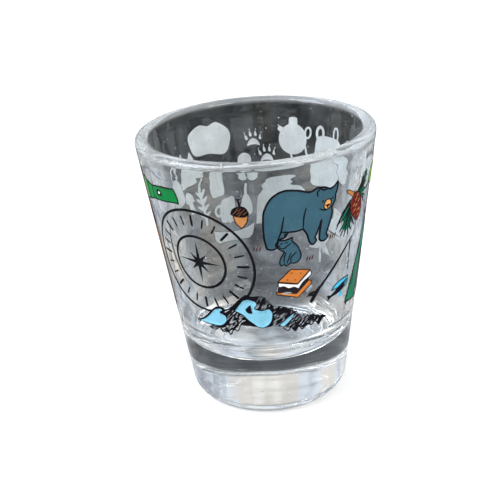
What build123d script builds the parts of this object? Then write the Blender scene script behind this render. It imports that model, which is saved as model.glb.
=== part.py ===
"""Souvenir shot glass: a pressed glass tumbler with camping pictures fired on its outer wall.

The tumbler is one piece of glass. Each picture is one or two thin layers of enamel: a white base
against the glass and a coloured layer over it. Line drawings are one black layer.
The origin is the centre of the foot, and Z runs up the axis. Angles go round the wall from the
front, -Y, towards +X. Picture outlines are flat, in millimetres, as seen from outside the glass:
X runs round the wall to the right, and Y runs up it.
"""
from build123d import *
from math import atan, atan2, cos, degrees, radians, sin
import os

# Tumbler
glass_height = 58.0
lip_outer_radius = 24.24
foot_cone_radius = 16.97     # where the outer cone would meet the table
rim_wall = 2.75              # wall thickness just under the lip
lip_rounding = 1.3
foot_rounding = 2.4
floor_height = 11.6          # inside floor above the table
floor_cone_radius = 15.7     # where the cavity's wall would meet its floor
cavity_rounding = 8.5
recess_depth = 0.7           # shallow hollow under the foot
recess_radius = 12.4
recess_edge = 1.2            # width of the slope from the hollow to the foot ring

# Enamel
ink_thickness = 0.08
art_reach = 6.0              # how far a picture's outline is carried each way before it is trimmed
line_width = 0.5
fine_line = 0.25

wall_slope = (lip_outer_radius - foot_cone_radius) / (glass_height - lip_rounding)
wall_lean = atan(wall_slope)
art_radius = 21.5            # mean wall radius behind the pictures
badge_radius = 11.3
badge_inner_radius = 5.7


def wall_radius(height):
    """Radius of the outer wall at a height."""
    return foot_cone_radius + wall_slope * height


def wall_plane(angle, height):
    """Plane that touches the outer wall: X round the glass, Y up the wall, Z outwards."""
    turn = radians(angle)
    outward = Vector(sin(turn), -cos(turn), 0)
    touch = outward * wall_radius(height) + Vector(0, 0, height)
    normal = outward * cos(wall_lean) - Vector(0, 0, sin(wall_lean))
    return Plane(origin=touch, x_dir=(cos(turn), sin(turn), 0), z_dir=normal)


def save(part, name):
    """Labels a finished piece and writes its STEP file."""
    part.label = name
    export_step(part, f"parts/{name}.step")


def tumbler():
    """Outer cone, rounded foot with a shallow hollow, deep cavity and fire-polished lip."""
    top_radius = wall_radius(glass_height)
    with BuildPart() as glass:
        with BuildSketch(Plane.XZ) as profile:
            with BuildLine():
                Polyline(
                    (0, recess_depth),
                    (recess_radius, recess_depth),
                    (recess_radius + recess_edge, 0),
                    (foot_cone_radius, 0),
                    (top_radius, glass_height),
                    (top_radius - rim_wall, glass_height),
                    (floor_cone_radius, floor_height),
                    (0, floor_height),
                    close=True,
                )
            make_face()
            corners = profile.vertices()
            lip = corners.filter_by(lambda v: v.Y > glass_height - 1)
            fillet(lip, lip_rounding)
            corners = profile.vertices()
            fillet(corners.filter_by(lambda v: v.Y < 0.01).sort_by(Axis.X)[-1], foot_rounding)
            corners = profile.vertices()
            at_floor = corners.filter_by(lambda v: abs(v.Y - floor_height) < 0.01)
            fillet(at_floor.sort_by(Axis.X)[-1], cavity_rounding)
        revolve(axis=Axis.Z)
    save(glass.part, "glass_tumbler")


def enamel_shell(inner, outer):
    """Conical shell between two depths above the outer wall."""
    with BuildPart() as shell:
        with BuildSketch(Plane.XZ):
            low = 16.0
            high = glass_height - lip_rounding - 0.5
            start = inner / cos(wall_lean)
            end = outer / cos(wall_lean)
            with BuildLine():
                Polyline(
                    (wall_radius(low) + start, low),
                    (wall_radius(low) + end, low),
                    (wall_radius(high) + end, high),
                    (wall_radius(high) + start, high),
                    close=True,
                )
            make_face()
        revolve(axis=Axis.Z)
    return shell.part


base_shell = enamel_shell(0, ink_thickness)
colour_shell = enamel_shell(ink_thickness, 2 * ink_thickness)


def enamel(art, angle, height, shell):
    """Lays a flat picture on the wall, as a layer of enamel of the shell's thickness."""
    plane = wall_plane(angle, height)
    with BuildPart() as layer:
        with BuildSketch(plane.offset(art_reach)):
            add(art)
        extrude(amount=-2 * art_reach)
        add(shell, mode=Mode.INTERSECT)
    return layer.part


def across_plane(arc):
    """How far across the touching plane a point stands that lies a given arc round the wall."""
    return art_radius * sin(arc / art_radius)


def unrolled(points):
    """The points of an outline that is measured round the wall, moved onto the touching plane."""
    return [(across_plane(Vector(point).X), Vector(point).Y) for point in points]


def shape(*runs):
    """Fills one outline: a run of two points is straight, and a longer run is a smooth curve."""
    with BuildLine() as outline:
        for run in runs:
            if len(run) == 2:
                Line(*unrolled(run))
            else:
                Spline(*unrolled(run))
    make_face(outline.edges())


def polygon(*points):
    """Fills an outline with straight sides."""
    with BuildLine() as outline:
        Polyline(*unrolled(points), close=True)
    make_face(outline.edges())


def blob(*points):
    """Fills one smooth closed outline."""
    with BuildLine() as outline:
        Spline(*unrolled(points), periodic=True)
    make_face(outline.edges())


def stroke(start, end, width):
    """A straight line with round ends."""
    (x_start, y_start), (x_end, y_end) = unrolled([start, end])
    run = Vector(x_end - x_start, y_end - y_start)
    with Locations(((x_start + x_end) / 2, (y_start + y_end) / 2)):
        SlotCenterToCenter(run.length, width, rotation=degrees(atan2(run.Y, run.X)))


def ring(radius, width):
    """A ring that is round on the wall, so a little narrow on the touching plane."""
    with BuildSketch() as band:
        Ellipse(across_plane(radius + width / 2), radius + width / 2)
        Ellipse(across_plane(radius - width / 2), radius - width / 2, mode=Mode.SUBTRACT)
    return band.sketch


def bear():
    with BuildSketch() as art:
        shape(
            [(-7.6, 0.0), (-7.4, 2.7), (-6.1, 5.2), (-3.9, 6.4), (-1.2, 6.1), (1.2, 5.3), (2.6, 5.8)],
            [(2.6, 5.8), (4.2, 5.6), (5.6, 4.9)],
            [(5.6, 4.9), (7.5, 5.2)],
            [(7.5, 5.2), (7.2, 4.2), (7.0, 3.4)],
            [(7.0, 3.4), (6.9, 2.2), (6.2, 0.9), (6.3, -0.4), (5.6, -2.8), (5.0, -4.4)],
            [(5.0, -4.4), (5.4, -5.2), (4.6, -5.8), (3.6, -5.4), (3.5, -4.0), (3.9, -1.0)],
            [(3.9, -1.0), (3.2, -2.9), (2.5, -4.5)],
            [(2.5, -4.5), (2.8, -5.3), (2.0, -5.9), (1.3, -5.2)],
            [(1.3, -5.2), (0.8, -3.5), (0.0, -2.1)],
            [(0.0, -2.1), (-1.4, -2.3), (-2.9, -2.2)],
            [(-2.9, -2.2), (-3.6, -3.2), (-4.6, -3.6), (-5.3, -4.6)],
            [(-5.3, -4.6), (-5.1, -5.3), (-6.0, -5.6), (-6.9, -5.3)],
            [(-6.9, -5.3), (-7.4, -3.0), (-7.6, 0.0)],
        )
    return art.sketch


def cub():
    with BuildSketch() as art:
        shape(
            [(-2.1, 3.1), (-0.8, 2.6), (0.7, 3.1)],
            [(0.7, 3.1), (1.4, 1.4), (2.2, -0.2), (2.4, -1.6), (1.6, -2.5)],
            [(1.6, -2.5), (0.2, -2.4)],
            [(0.2, -2.4), (-0.6, -3.0), (-1.3, -2.7)],
            [(-1.3, -2.7), (-1.9, -2.2), (-1.8, -1.0), (-0.9, 0.4)],
            [(-0.9, 0.4), (-1.8, 1.4), (-2.1, 3.1)],
        )
    return art.sketch


def smores():
    with BuildSketch() as art:
        polygon((-3.5, 0.8), (-0.7, 3.2), (3.1, 2.2), (3.0, 0.2), (3.6, -0.4), (3.6, -0.9),
                (0.7, -3.6), (-3.7, -2.2), (-3.4, -0.2))
    return art.sketch


def acorn():
    with BuildSketch() as art:
        shape(
            [(-1.7, 0.0), (-1.1, 1.4), (0.1, 1.9)],
            [(0.1, 1.9), (-0.1, 3.4)],
            [(-0.1, 3.4), (0.3, 3.4)],
            [(0.3, 3.4), (0.4, 1.9)],
            [(0.4, 1.9), (1.4, 1.3), (1.8, 0.1)],
            [(1.8, 0.1), (1.1, -1.5), (0.1, -2.7)],
            [(0.1, -2.7), (-1.0, -1.7), (-1.7, 0.0)],
        )
    return art.sketch


def flashlight():
    with BuildSketch() as art:
        shape(
            [(-6.7, 1.9), (-4.9, 1.3), (-2.8, 0.9)],
            [(-2.8, 0.9), (1.0, 1.5), (4.4, 1.9)],
            [(4.4, 1.9), (5.0, -0.8)],
            [(5.0, -0.8), (1.0, -1.2), (-2.8, -1.7)],
            [(-2.8, -1.7), (-4.9, -2.3), (-6.9, -2.5)],
            [(-6.9, -2.5), (-6.7, 1.9)],
        )
    return art.sketch


def compass_badge():
    """Two rings with ticks between them and an eight-pointed star: a plain compass dial."""
    ticks = 24
    star_arms = 8
    with BuildSketch() as art:
        add(ring(badge_radius, line_width))
        add(ring(badge_inner_radius, line_width))
        for tick in range(ticks):
            turn = tick * 360 / ticks
            tick_start = Vector(8.4, 0).rotate(Axis.Z, turn)
            tick_end = Vector(9.8, 0).rotate(Axis.Z, turn)
            stroke(tick_start, tick_end, line_width)
        for arm in range(star_arms):
            turn = arm * 360 / star_arms
            reach = 4.6 if arm % 2 == 0 else 2.6
            tip = Vector(reach, 0).rotate(Axis.Z, turn)
            left = Vector(1.0, 0).rotate(Axis.Z, turn + 180 / star_arms)
            right = Vector(1.0, 0).rotate(Axis.Z, turn - 180 / star_arms)
            polygon(tip, left, (0, 0), right)
    return art.sketch


def mountains():
    with BuildSketch() as art:
        shape(
            [(-13.2, -2.6), (-10.2, -0.5), (-7.3, 2.2)],
            [(-7.3, 2.2), (-5.8, 1.7), (-4.2, 2.8), (-1.6, 5.6)],
            [(-1.6, 5.6), (1.0, 5.3), (3.7, 2.8), (6.4, 1.9), (9.6, -0.7), (14.7, -2.6)],
            [(14.7, -2.6), (13.0, -4.2), (10.9, -3.1), (8.5, -3.7), (5.3, -2.5)],
            [(5.3, -2.5), (1.4, -2.3), (-3.4, -1.8)],
            [(-3.4, -1.8), (-6.0, -3.9), (-10.1, -3.9), (-13.2, -2.6)],
        )
    return art.sketch


def pine_cone():
    with BuildSketch() as art:
        blob((0.9, 2.6), (3.0, 0.6), (3.2, -2.0), (1.6, -3.7), (-1.0, -1.6), (-1.2, 1.2))
        polygon((-1.0, 2.1), (-2.8, 3.7), (-2.4, 4.2), (-0.4, 2.9))
        polygon((0.4, 2.2), (3.0, 4.4), (4.6, 5.9), (4.4, 3.4), (4.9, 0.4), (2.6, 0.8))
        polygon((-1.0, 1.6), (-2.9, -0.2), (-4.8, -2.6), (-3.4, -5.2), (-0.2, -5.0), (0.2, -2.8))
    return art.sketch


def fishing_rod():
    with BuildSketch() as art:
        stroke((5.1, 6.2), (-3.9, -3.0), 0.5)
        stroke((-3.8, -2.9), (-5.0, -4.8), 0.9)
        stroke((-5.8, -3.5), (-4.4, -3.1), 0.7)
    return art.sketch


def fishing_line():
    with BuildSketch() as art:
        for top, bottom in ((4.3, 2.8), (2.3, 1.5), (0.9, 0.2), (-0.5, -1.3)):
            stroke((4.6, top), (4.5, bottom), fine_line)
    return art.sketch


def fish():
    with BuildSketch() as art:
        shape(
            [(3.0, 1.9), (0.4, 1.9), (-1.8, 0.7)],
            [(-1.8, 0.7), (-3.3, 0.2)],
            [(-3.3, 0.2), (-3.0, -1.0)],
            [(-3.0, -1.0), (-1.4, -0.5), (0.6, -0.8), (2.4, 0.2), (3.0, 1.9)],
        )
    return art.sketch


def tepee_tent():
    with BuildSketch() as art:
        shape(
            [(-6.0, -9.2), (-2.6, 0.2), (0.1, 9.0)],
            [(0.1, 9.0), (0.6, 9.0)],
            [(0.6, 9.0), (3.6, 0.2), (6.4, -9.4)],
            [(6.4, -9.4), (0.4, -10.2), (-6.0, -9.2)],
        )
    return art.sketch


def broad_leaf():
    with BuildSketch() as art:
        shape(
            [(-3.4, -1.4), (-2.8, 1.6), (0.2, 2.6), (3.8, 2.2)],
            [(3.8, 2.2), (3.4, -0.8), (1.2, -2.6), (-3.4, -1.4)],
        )
    return art.sketch


def grass():
    """Three short upright strokes."""
    with BuildSketch() as art:
        for across in (-0.7, 0.0, 0.7):
            stroke((across - 0.1, -0.4), (across + 0.1, 0.4), 0.3)
    return art.sketch


def walking_stick():
    with BuildSketch() as art:
        shape(
            [(-0.5, 12.4), (0.5, 12.6)],
            [(0.5, 12.6), (0.6, 4.0), (0.3, -12.4)],
            [(0.3, -12.4), (-0.2, -12.4)],
            [(-0.2, -12.4), (-0.2, 4.0), (-0.5, 12.4)],
        )
    return art.sketch


def bedroll():
    with BuildSketch() as art:
        blob((-5.4, -0.6), (-5.1, 1.6), (-2.6, 3.5), (-0.3, 3.0), (2.1, 3.5), (5.2, 2.0),
             (5.3, -0.3), (4.0, -2.8), (0.2, -3.0), (-3.7, -3.6))
    return art.sketch


def paw_print():
    """One pad and four toes."""
    with BuildSketch() as art:
        blob((-1.5, -1.2), (-0.9, 0.1), (0.0, 0.5), (0.9, 0.1), (1.5, -1.2), (0.0, -1.1))
        for across, up in ((-1.6, 0.7), (-0.6, 1.5), (0.6, 1.5), (1.6, 0.7)):
            with Locations((across, up)):
                Ellipse(0.34, 0.5, rotation=-12 * across)
    return art.sketch


def canteen():
    """A round bottle with a cap, a lug, a loop and two strap ends."""
    with BuildSketch() as art:
        Circle(3.5)
        polygon((-1.1, 3.2), (-1.0, 4.9), (1.0, 4.9), (1.1, 3.2))
        polygon((2.2, 2.4), (3.4, 3.0), (3.9, 2.3), (3.0, 1.4))
        with BuildSketch(Location((-3.9, 1.7)), mode=Mode.ADD):
            Ellipse(0.95, 1.45)
            Ellipse(0.55, 1.05, mode=Mode.SUBTRACT)
        stroke((-3.1, -1.6), (-4.3, -4.4), 0.42)
        stroke((0.6, -3.2), (-0.1, -4.5), 0.4)
    return art.sketch


def backpack():
    with BuildSketch() as art:
        blob((-4.2, -5.0), (-4.4, 1.0), (-3.4, 4.2), (0.0, 4.8), (3.4, 4.3), (4.2, 1.0),
             (4.1, -5.0), (0.0, -6.1))
        with BuildSketch(Location((2.9, 5.2)), mode=Mode.ADD):
            Ellipse(1.25, 1.8)
            Ellipse(0.65, 1.2, mode=Mode.SUBTRACT)
        with BuildSketch(Location((-2.0, 5.6)), mode=Mode.ADD):
            Ellipse(0.95, 1.8)
            Ellipse(0.55, 1.4, mode=Mode.SUBTRACT)
    return art.sketch


def campfire():
    """Flames over two crossed logs."""
    with BuildSketch() as art:
        shape(
            [(-2.8, -2.1), (-3.0, 0.6), (-1.8, 3.4)],
            [(-1.8, 3.4), (-1.1, 2.2), (-0.4, 1.9)],
            [(-0.4, 1.9), (0.7, 2.6), (1.1, 3.7)],
            [(1.1, 3.7), (2.7, 1.6), (3.0, -0.4), (2.6, -2.1)],
            [(2.6, -2.1), (-2.8, -2.1)],
        )
        stroke((-3.0, -3.1), (3.0, -2.1), 0.9)
        stroke((-3.0, -2.1), (3.0, -3.1), 0.9)
    return art.sketch


def fern():
    with BuildSketch() as art:
        stroke((0.0, -5.0), (0.0, 4.6), 0.9)
        for up, length in ((2.8, 1.1), (1.2, 1.5), (-0.6, 1.8), (-2.6, 1.9)):
            for side in (-1, 1):
                stroke((0.0, up - 0.7), (side * length, up + 0.5), 0.9)
    return art.sketch


def enamel_mug():
    with BuildSketch() as art:
        blob((-1.8, 2.4), (0.0, 2.85), (1.8, 2.4), (1.9, -2.2), (0.0, -2.8), (-1.9, -2.2))
        with BuildSketch(Location((2.5, 0.3)), mode=Mode.ADD):
            Ellipse(1.2, 1.6)
            Ellipse(0.65, 1.05, mode=Mode.SUBTRACT)
    return art.sketch


def paddle():
    with BuildSketch() as art:
        stroke((0.0, -0.5), (0.0, 3.5), 0.6)
        blob((0.0, -4.0), (1.2, -3.2), (1.25, -1.2), (0.5, 0.8), (0.0, 1.2), (-0.5, 0.8),
             (-1.25, -1.2), (-1.2, -3.2))
    return art.sketch


def canoe():
    with BuildSketch() as art:
        shape(
            [(-5.7, 1.7), (-5.2, -0.6), (-4.2, -1.6)],
            [(-4.2, -1.6), (0.0, -1.8), (4.2, -1.6)],
            [(4.2, -1.6), (5.2, -0.6), (5.7, 1.5)],
            [(5.7, 1.5), (3.2, 0.6), (0.0, 0.4), (-3.2, 0.7), (-5.7, 1.7)],
        )
    return art.sketch


def flask():
    with BuildSketch() as art:
        blob((-1.6, -2.8), (-1.65, 1.6), (-0.9, 2.6), (0.9, 2.6), (1.65, 1.6), (1.6, -2.8),
             (0.0, -3.4))
        polygon((-0.8, 2.2), (-0.8, 3.6), (0.8, 3.6), (0.8, 2.2))
    return art.sketch


def kettle():
    """A kettle with a spout and a bail."""
    with BuildSketch() as art:
        blob((-3.6, -2.8), (-3.7, 0.2), (-3.2, 2.4), (-1.4, 3.3), (0.8, 2.9), (1.9, 1.2),
             (2.2, -2.6), (-0.6, -3.4))
        polygon((1.6, 1.4), (3.9, 2.3), (3.9, 1.5), (2.1, -0.8))
        with BuildSketch(Location((-0.8, 3.4)), mode=Mode.ADD):
            Ellipse(1.8, 2.1)
            Ellipse(1.35, 1.6, mode=Mode.SUBTRACT)
    return art.sketch


def dome_tent():
    with BuildSketch() as art:
        shape(
            [(-8.0, -5.4), (-7.9, -3.4), (-6.7, 0.7), (-4.0, 4.2), (-1.2, 5.3), (1.9, 5.2),
             (4.5, 4.5), (6.5, 2.9), (8.0, -0.4), (8.3, -5.4)],
            [(8.3, -5.4), (-8.0, -5.4)],
        )
    return art.sketch


def hiking_boot():
    with BuildSketch() as art:
        shape(
            [(-3.4, -3.0), (-3.5, 0.4), (-3.0, 3.2)],
            [(-3.0, 3.2), (0.6, 3.4)],
            [(0.6, 3.4), (0.9, 0.9), (3.4, 0.0), (4.0, -3.0)],
            [(4.0, -3.0), (-3.4, -3.0)],
        )
    return art.sketch


def maple_leaf():
    """Five pointed lobes on a stalk."""
    lobes = 5
    with BuildSketch() as art:
        for lobe in range(lobes):
            turn = 90 + (lobe - (lobes - 1) / 2) * 58
            tip = Vector(4.0, 0).rotate(Axis.Z, turn)
            left = Vector(1.9, 0).rotate(Axis.Z, turn + 34)
            right = Vector(1.9, 0).rotate(Axis.Z, turn - 34)
            polygon((0, -0.4), right, tip, left)
        stroke((0.0, 0.0), (0.3, -4.2), 0.5)
    return art.sketch


def lantern():
    with BuildSketch() as art:
        blob((0.0, 3.0), (2.2, 1.6), (2.4, -1.6), (1.8, -3.6), (-1.8, -3.6), (-2.4, -1.6), (-2.2, 1.6))
        with BuildSketch(Location((0.0, 3.6)), mode=Mode.ADD):
            Ellipse(1.9, 1.7)
            Ellipse(1.4, 1.2, mode=Mode.SUBTRACT)
    return art.sketch


def mushroom():
    with BuildSketch() as art:
        shape(
            [(-1.75, 0.4), (-1.4, 1.8), (0.0, 2.6), (1.4, 1.8), (1.75, 0.4)],
            [(1.75, 0.4), (0.8, 0.1)],
            [(0.8, 0.1), (0.9, -1.2), (1.0, -2.3)],
            [(1.0, -2.3), (0.0, -2.5), (-1.0, -2.3)],
            [(-1.0, -2.3), (-0.9, -1.2), (-0.8, 0.1)],
            [(-0.8, 0.1), (-1.75, 0.4)],
        )
    return art.sketch


def log_pile():
    """Three logs seen end on."""
    with BuildSketch() as art:
        for across, up in ((-1.5, -1.3), (1.5, -1.3), (0.0, 1.3)):
            with Locations((across, up)):
                Circle(1.6)
    return art.sketch


os.makedirs("parts", exist_ok=True)
tumbler()

# Coloured pictures: a white base against the glass, and the colours over it
filled_prints = {
    "bear": (bear(), 20, 46),
    "bear_cub": (cub(), 13, 39.5),
    "smores": (smores(), 16, 32.5),
    "acorn": (acorn(), -9, 48),
    "flashlight": (flashlight(), -52.5, 50),
    "mountains": (mountains(), -6, 25),
    "pine_cone": (pine_cone(), 52, 45),
    "fish": (fish(), 45, 27),
    "tepee_tent": (tepee_tent(), 71, 32),
    "broad_leaf": (broad_leaf(), 76, 49),
    "walking_stick": (walking_stick(), -71, 34.5),
    "bedroll": (bedroll(), -151.2, 49.4),
    "canteen": (canteen(), 157.2, 48),
    "backpack": (backpack(), 132, 44.8),
    "campfire": (campfire(), -132, 44.5),
    "fern": (fern(), -138.5, 36),
    "enamel_mug": (enamel_mug(), -157.2, 33),
    "flask": (flask(), -150.3, 40.3),
    "kettle": (kettle(), -113, 41.2),
    "paddle": (paddle(), -170.5, 34.8),
    "canoe": (canoe(), -159.2, 27.2),
    "dome_tent": (dome_tent(), 160, 34),
    "hiking_boot": (hiking_boot(), 115.5, 31.8),
    "maple_leaf": (maple_leaf(), 131, 25.5),
    "lantern": (lantern(), 113.5, 45),
    "mushroom": (mushroom(), -127.8, 37.2),
    "log_pile": (log_pile(), -172.4, 42.2),
}
for name, (art, angle, height) in filled_prints.items():
    save(enamel(art, angle, height, base_shell), f"{name}_white_base")
    save(enamel(art, angle, height, colour_shell), f"{name}_colours")

# Black line drawings, straight on the glass. The mountains stand in front of the badge
save(enamel(fishing_rod(), 40, 32, base_shell), "fishing_rod")
save(enamel(fishing_line(), 40, 32, base_shell), "fishing_line")
with BuildPart() as badge:
    add(enamel(compass_badge(), -34.4, 36.9, base_shell))
    add(enamel(mountains(), -6, 25, base_shell), mode=Mode.SUBTRACT)
save(badge.part, "compass_badge")

# Small pictures that repeat, each kind kept together as one node of separate solids
repeated_prints = {
    "paw_prints": (paw_print(), [(-178.6, 47.8), (173.5, 44.1)]),
    "grass_strokes": (grass(), [(-2.4, 40.8), (24.2, 37.3), (37.6, 40.6)]),
}
for name, (art, places) in repeated_prints.items():
    pieces = [enamel(art, angle, height, base_shell) for angle, height in places]
    save(Compound(children=pieces), name)
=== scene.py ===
"""A souvenir shot glass: clear pressed glass with camping pictures fired on in enamel.

Run as a script. It loads the CAD model as the frame, puts a finely turned glass in the tumbler's
place and draws every picture as thin layers of enamel that follow the wall.
Drawings are flat, in millimetres, as seen from outside: x runs round the wall and y runs up it.
"""
import math

import bpy
import numpy as np
from mathutils import Matrix, Vector
from mathutils.geometry import delaunay_2d_cdt


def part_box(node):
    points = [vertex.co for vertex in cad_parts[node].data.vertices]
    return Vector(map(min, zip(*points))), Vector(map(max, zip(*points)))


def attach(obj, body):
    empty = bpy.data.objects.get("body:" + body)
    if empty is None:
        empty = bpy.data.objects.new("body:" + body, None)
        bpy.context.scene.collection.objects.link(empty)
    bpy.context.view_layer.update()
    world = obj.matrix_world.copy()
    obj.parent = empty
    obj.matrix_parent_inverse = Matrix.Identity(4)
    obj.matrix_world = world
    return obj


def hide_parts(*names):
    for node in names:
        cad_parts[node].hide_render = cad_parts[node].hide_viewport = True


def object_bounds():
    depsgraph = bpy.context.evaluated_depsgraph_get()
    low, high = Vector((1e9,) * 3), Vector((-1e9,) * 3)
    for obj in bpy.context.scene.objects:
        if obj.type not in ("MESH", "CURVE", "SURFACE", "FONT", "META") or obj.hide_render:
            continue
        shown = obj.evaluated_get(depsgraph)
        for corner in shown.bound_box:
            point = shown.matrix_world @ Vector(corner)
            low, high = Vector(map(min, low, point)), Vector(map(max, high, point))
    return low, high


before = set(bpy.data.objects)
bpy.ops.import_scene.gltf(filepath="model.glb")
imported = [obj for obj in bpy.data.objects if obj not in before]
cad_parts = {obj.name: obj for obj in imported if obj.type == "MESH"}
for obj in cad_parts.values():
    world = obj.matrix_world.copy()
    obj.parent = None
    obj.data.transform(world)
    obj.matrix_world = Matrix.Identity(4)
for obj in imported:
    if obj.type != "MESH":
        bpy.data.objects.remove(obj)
cad_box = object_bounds()

bl_info = {
    "name": "Printed shot glass",
    "version": (1, 0, 0),
    "blender": (4, 5, 0),
    "location": "View3D > Sidebar > Shot glass",
    "description": "Builds a clear shot glass with fired enamel pictures",
    "category": "Object",
}

MM = 0.001
glass_low, glass_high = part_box("glass_tumbler")


# Sizes and colours that a user would change

class GlassSettings(bpy.types.PropertyGroup):
    """Sizes of the tumbler."""
    height: bpy.props.FloatProperty(
        name="Height", description="From the foot to the lip",
        default=glass_high[2] - glass_low[2], unit="LENGTH")
    lip_radius: bpy.props.FloatProperty(
        name="Lip radius", description="Outer radius where the lip's rounding begins",
        default=0.02424, unit="LENGTH")
    foot_radius: bpy.props.FloatProperty(
        name="Foot radius", description="Radius at which the outer cone would meet the table",
        default=0.01697, unit="LENGTH")
    lip_rounding: bpy.props.FloatProperty(
        name="Lip rounding", description="Radius of the fire-polished lip", default=0.0013,
        unit="LENGTH")
    rim_wall: bpy.props.FloatProperty(
        name="Rim wall", description="Thickness of the wall at the lip", default=0.00275,
        unit="LENGTH")
    floor_height: bpy.props.FloatProperty(
        name="Floor height", description="Height of the inside floor", default=0.0116,
        unit="LENGTH")
    floor_radius: bpy.props.FloatProperty(
        name="Floor radius", description="Radius at which the cavity's wall would meet its floor",
        default=0.0157, unit="LENGTH")
    floor_rounding: bpy.props.FloatProperty(
        name="Floor rounding", description="Radius of the cavity's bottom corner", default=0.0085,
        unit="LENGTH")
    foot_rounding: bpy.props.FloatProperty(
        name="Foot rounding", description="Radius of the foot's outer edge", default=0.0024,
        unit="LENGTH")
    tint: bpy.props.StringProperty(
        name="Tint", description="sRGB colour of light that has passed the glass",
        default="#FBFDFD")


class EnamelSettings(bpy.types.PropertyGroup):
    """Thickness of the prints and the sRGB colours of their inks."""
    layer: bpy.props.FloatProperty(
        name="Layer", description="Thickness of one fired layer", default=0.00004, unit="LENGTH")
    white: bpy.props.StringProperty(
        name="White", description="Underprint and marshmallow", default="#F2F7F9")
    black: bpy.props.StringProperty(
        name="Black", description="Key lines and line drawings", default="#100E15")
    fur: bpy.props.StringProperty(name="Fur", description="Bears", default="#3C6070")
    green: bpy.props.StringProperty(name="Green", description="Torch", default="#107A3C")
    pine: bpy.props.StringProperty(name="Pine", description="Needles, tents", default="#0B7657")
    leaf: bpy.props.StringProperty(name="Leaf", description="Leaf, canteen", default="#8FC25A")
    sky: bpy.props.StringProperty(name="Sky", description="Snow, mug", default="#84C5DD")
    cyan: bpy.props.StringProperty(name="Cyan", description="Fins", default="#4CC0E6")
    tan: bpy.props.StringProperty(name="Tan", description="Muzzle, straps", default="#EBA864")
    biscuit: bpy.props.StringProperty(
        name="Biscuit", description="Biscuit, paddle", default="#CE7C3A")
    nut: bpy.props.StringProperty(name="Nut", description="Nut, wood", default="#BC7F4C")
    cone: bpy.props.StringProperty(
        name="Cone", description="Pine cone, boot, toadstool", default="#7C261E")
    orange: bpy.props.StringProperty(
        name="Orange", description="Bedroll, flames, autumn leaf", default="#D9702B")
    chocolate: bpy.props.StringProperty(
        name="Chocolate", description="Chocolate", default="#272026")
    brown: bpy.props.StringProperty(
        name="Brown", description="Grass strokes", default="#4A2E2A")


class StageSettings(bpy.types.PropertyGroup):
    """Where the camera stands and how it frames the glass."""
    distance: bpy.props.FloatProperty(
        name="Distance", description="From the camera to the glass's middle", default=0.1802,
        unit="LENGTH")
    elevation: bpy.props.FloatProperty(
        name="Elevation", description="Camera's height above the horizon",
        default=math.radians(25.243), subtype="ANGLE")
    roll: bpy.props.FloatProperty(
        name="Roll", description="Camera's lean to one side", default=math.radians(-3.594),
        subtype="ANGLE")
    lens: bpy.props.FloatProperty(
        name="Lens", description="Focal length on a 36 mm sensor, in millimetres", default=62.84)
    aim_right: bpy.props.FloatProperty(
        name="Aim right", description="How far right of the frame's centre the glass stands",
        default=0.02710)
    aim_down: bpy.props.FloatProperty(
        name="Aim down", description="How far below the frame's centre the glass stands",
        default=0.01849)


# Materials

def linear(colour):
    """Linear RGBA from an sRGB hex colour."""
    values = np.array([int(colour[i:i + 2], 16) / 255 for i in (1, 3, 5)])
    low = values / 12.92
    high = ((values + 0.055) / 1.055) ** 2.4
    return (*np.where(values <= 0.04045, low, high), 1.0)


def add_node(tree, kind, inputs=None, stops=None, **settings):
    """Adds a node. An input is a value, or the output of another node that feeds it."""
    made = tree.nodes.new(kind)
    for key, value in settings.items():
        setattr(made, key, value)
    for key, value in (inputs or {}).items():
        if isinstance(value, bpy.types.NodeSocket):
            tree.links.new(value, made.inputs[key])
        else:
            made.inputs[key].default_value = value
    if stops:
        elements = made.color_ramp.elements
        while len(elements) < len(stops):
            elements.new(0.5)
        for element, (place, colour) in zip(elements, stops):
            element.position = place
            element.color = colour
    return made


def new_material(name):
    """An empty node material and its tree."""
    material = bpy.data.materials.new(name)
    material.use_nodes = True
    material.node_tree.nodes.clear()
    return material, material.node_tree


def grey(value):
    """An opaque grey for a colour ramp's stop."""
    return (value, value, value, 1.0)


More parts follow.
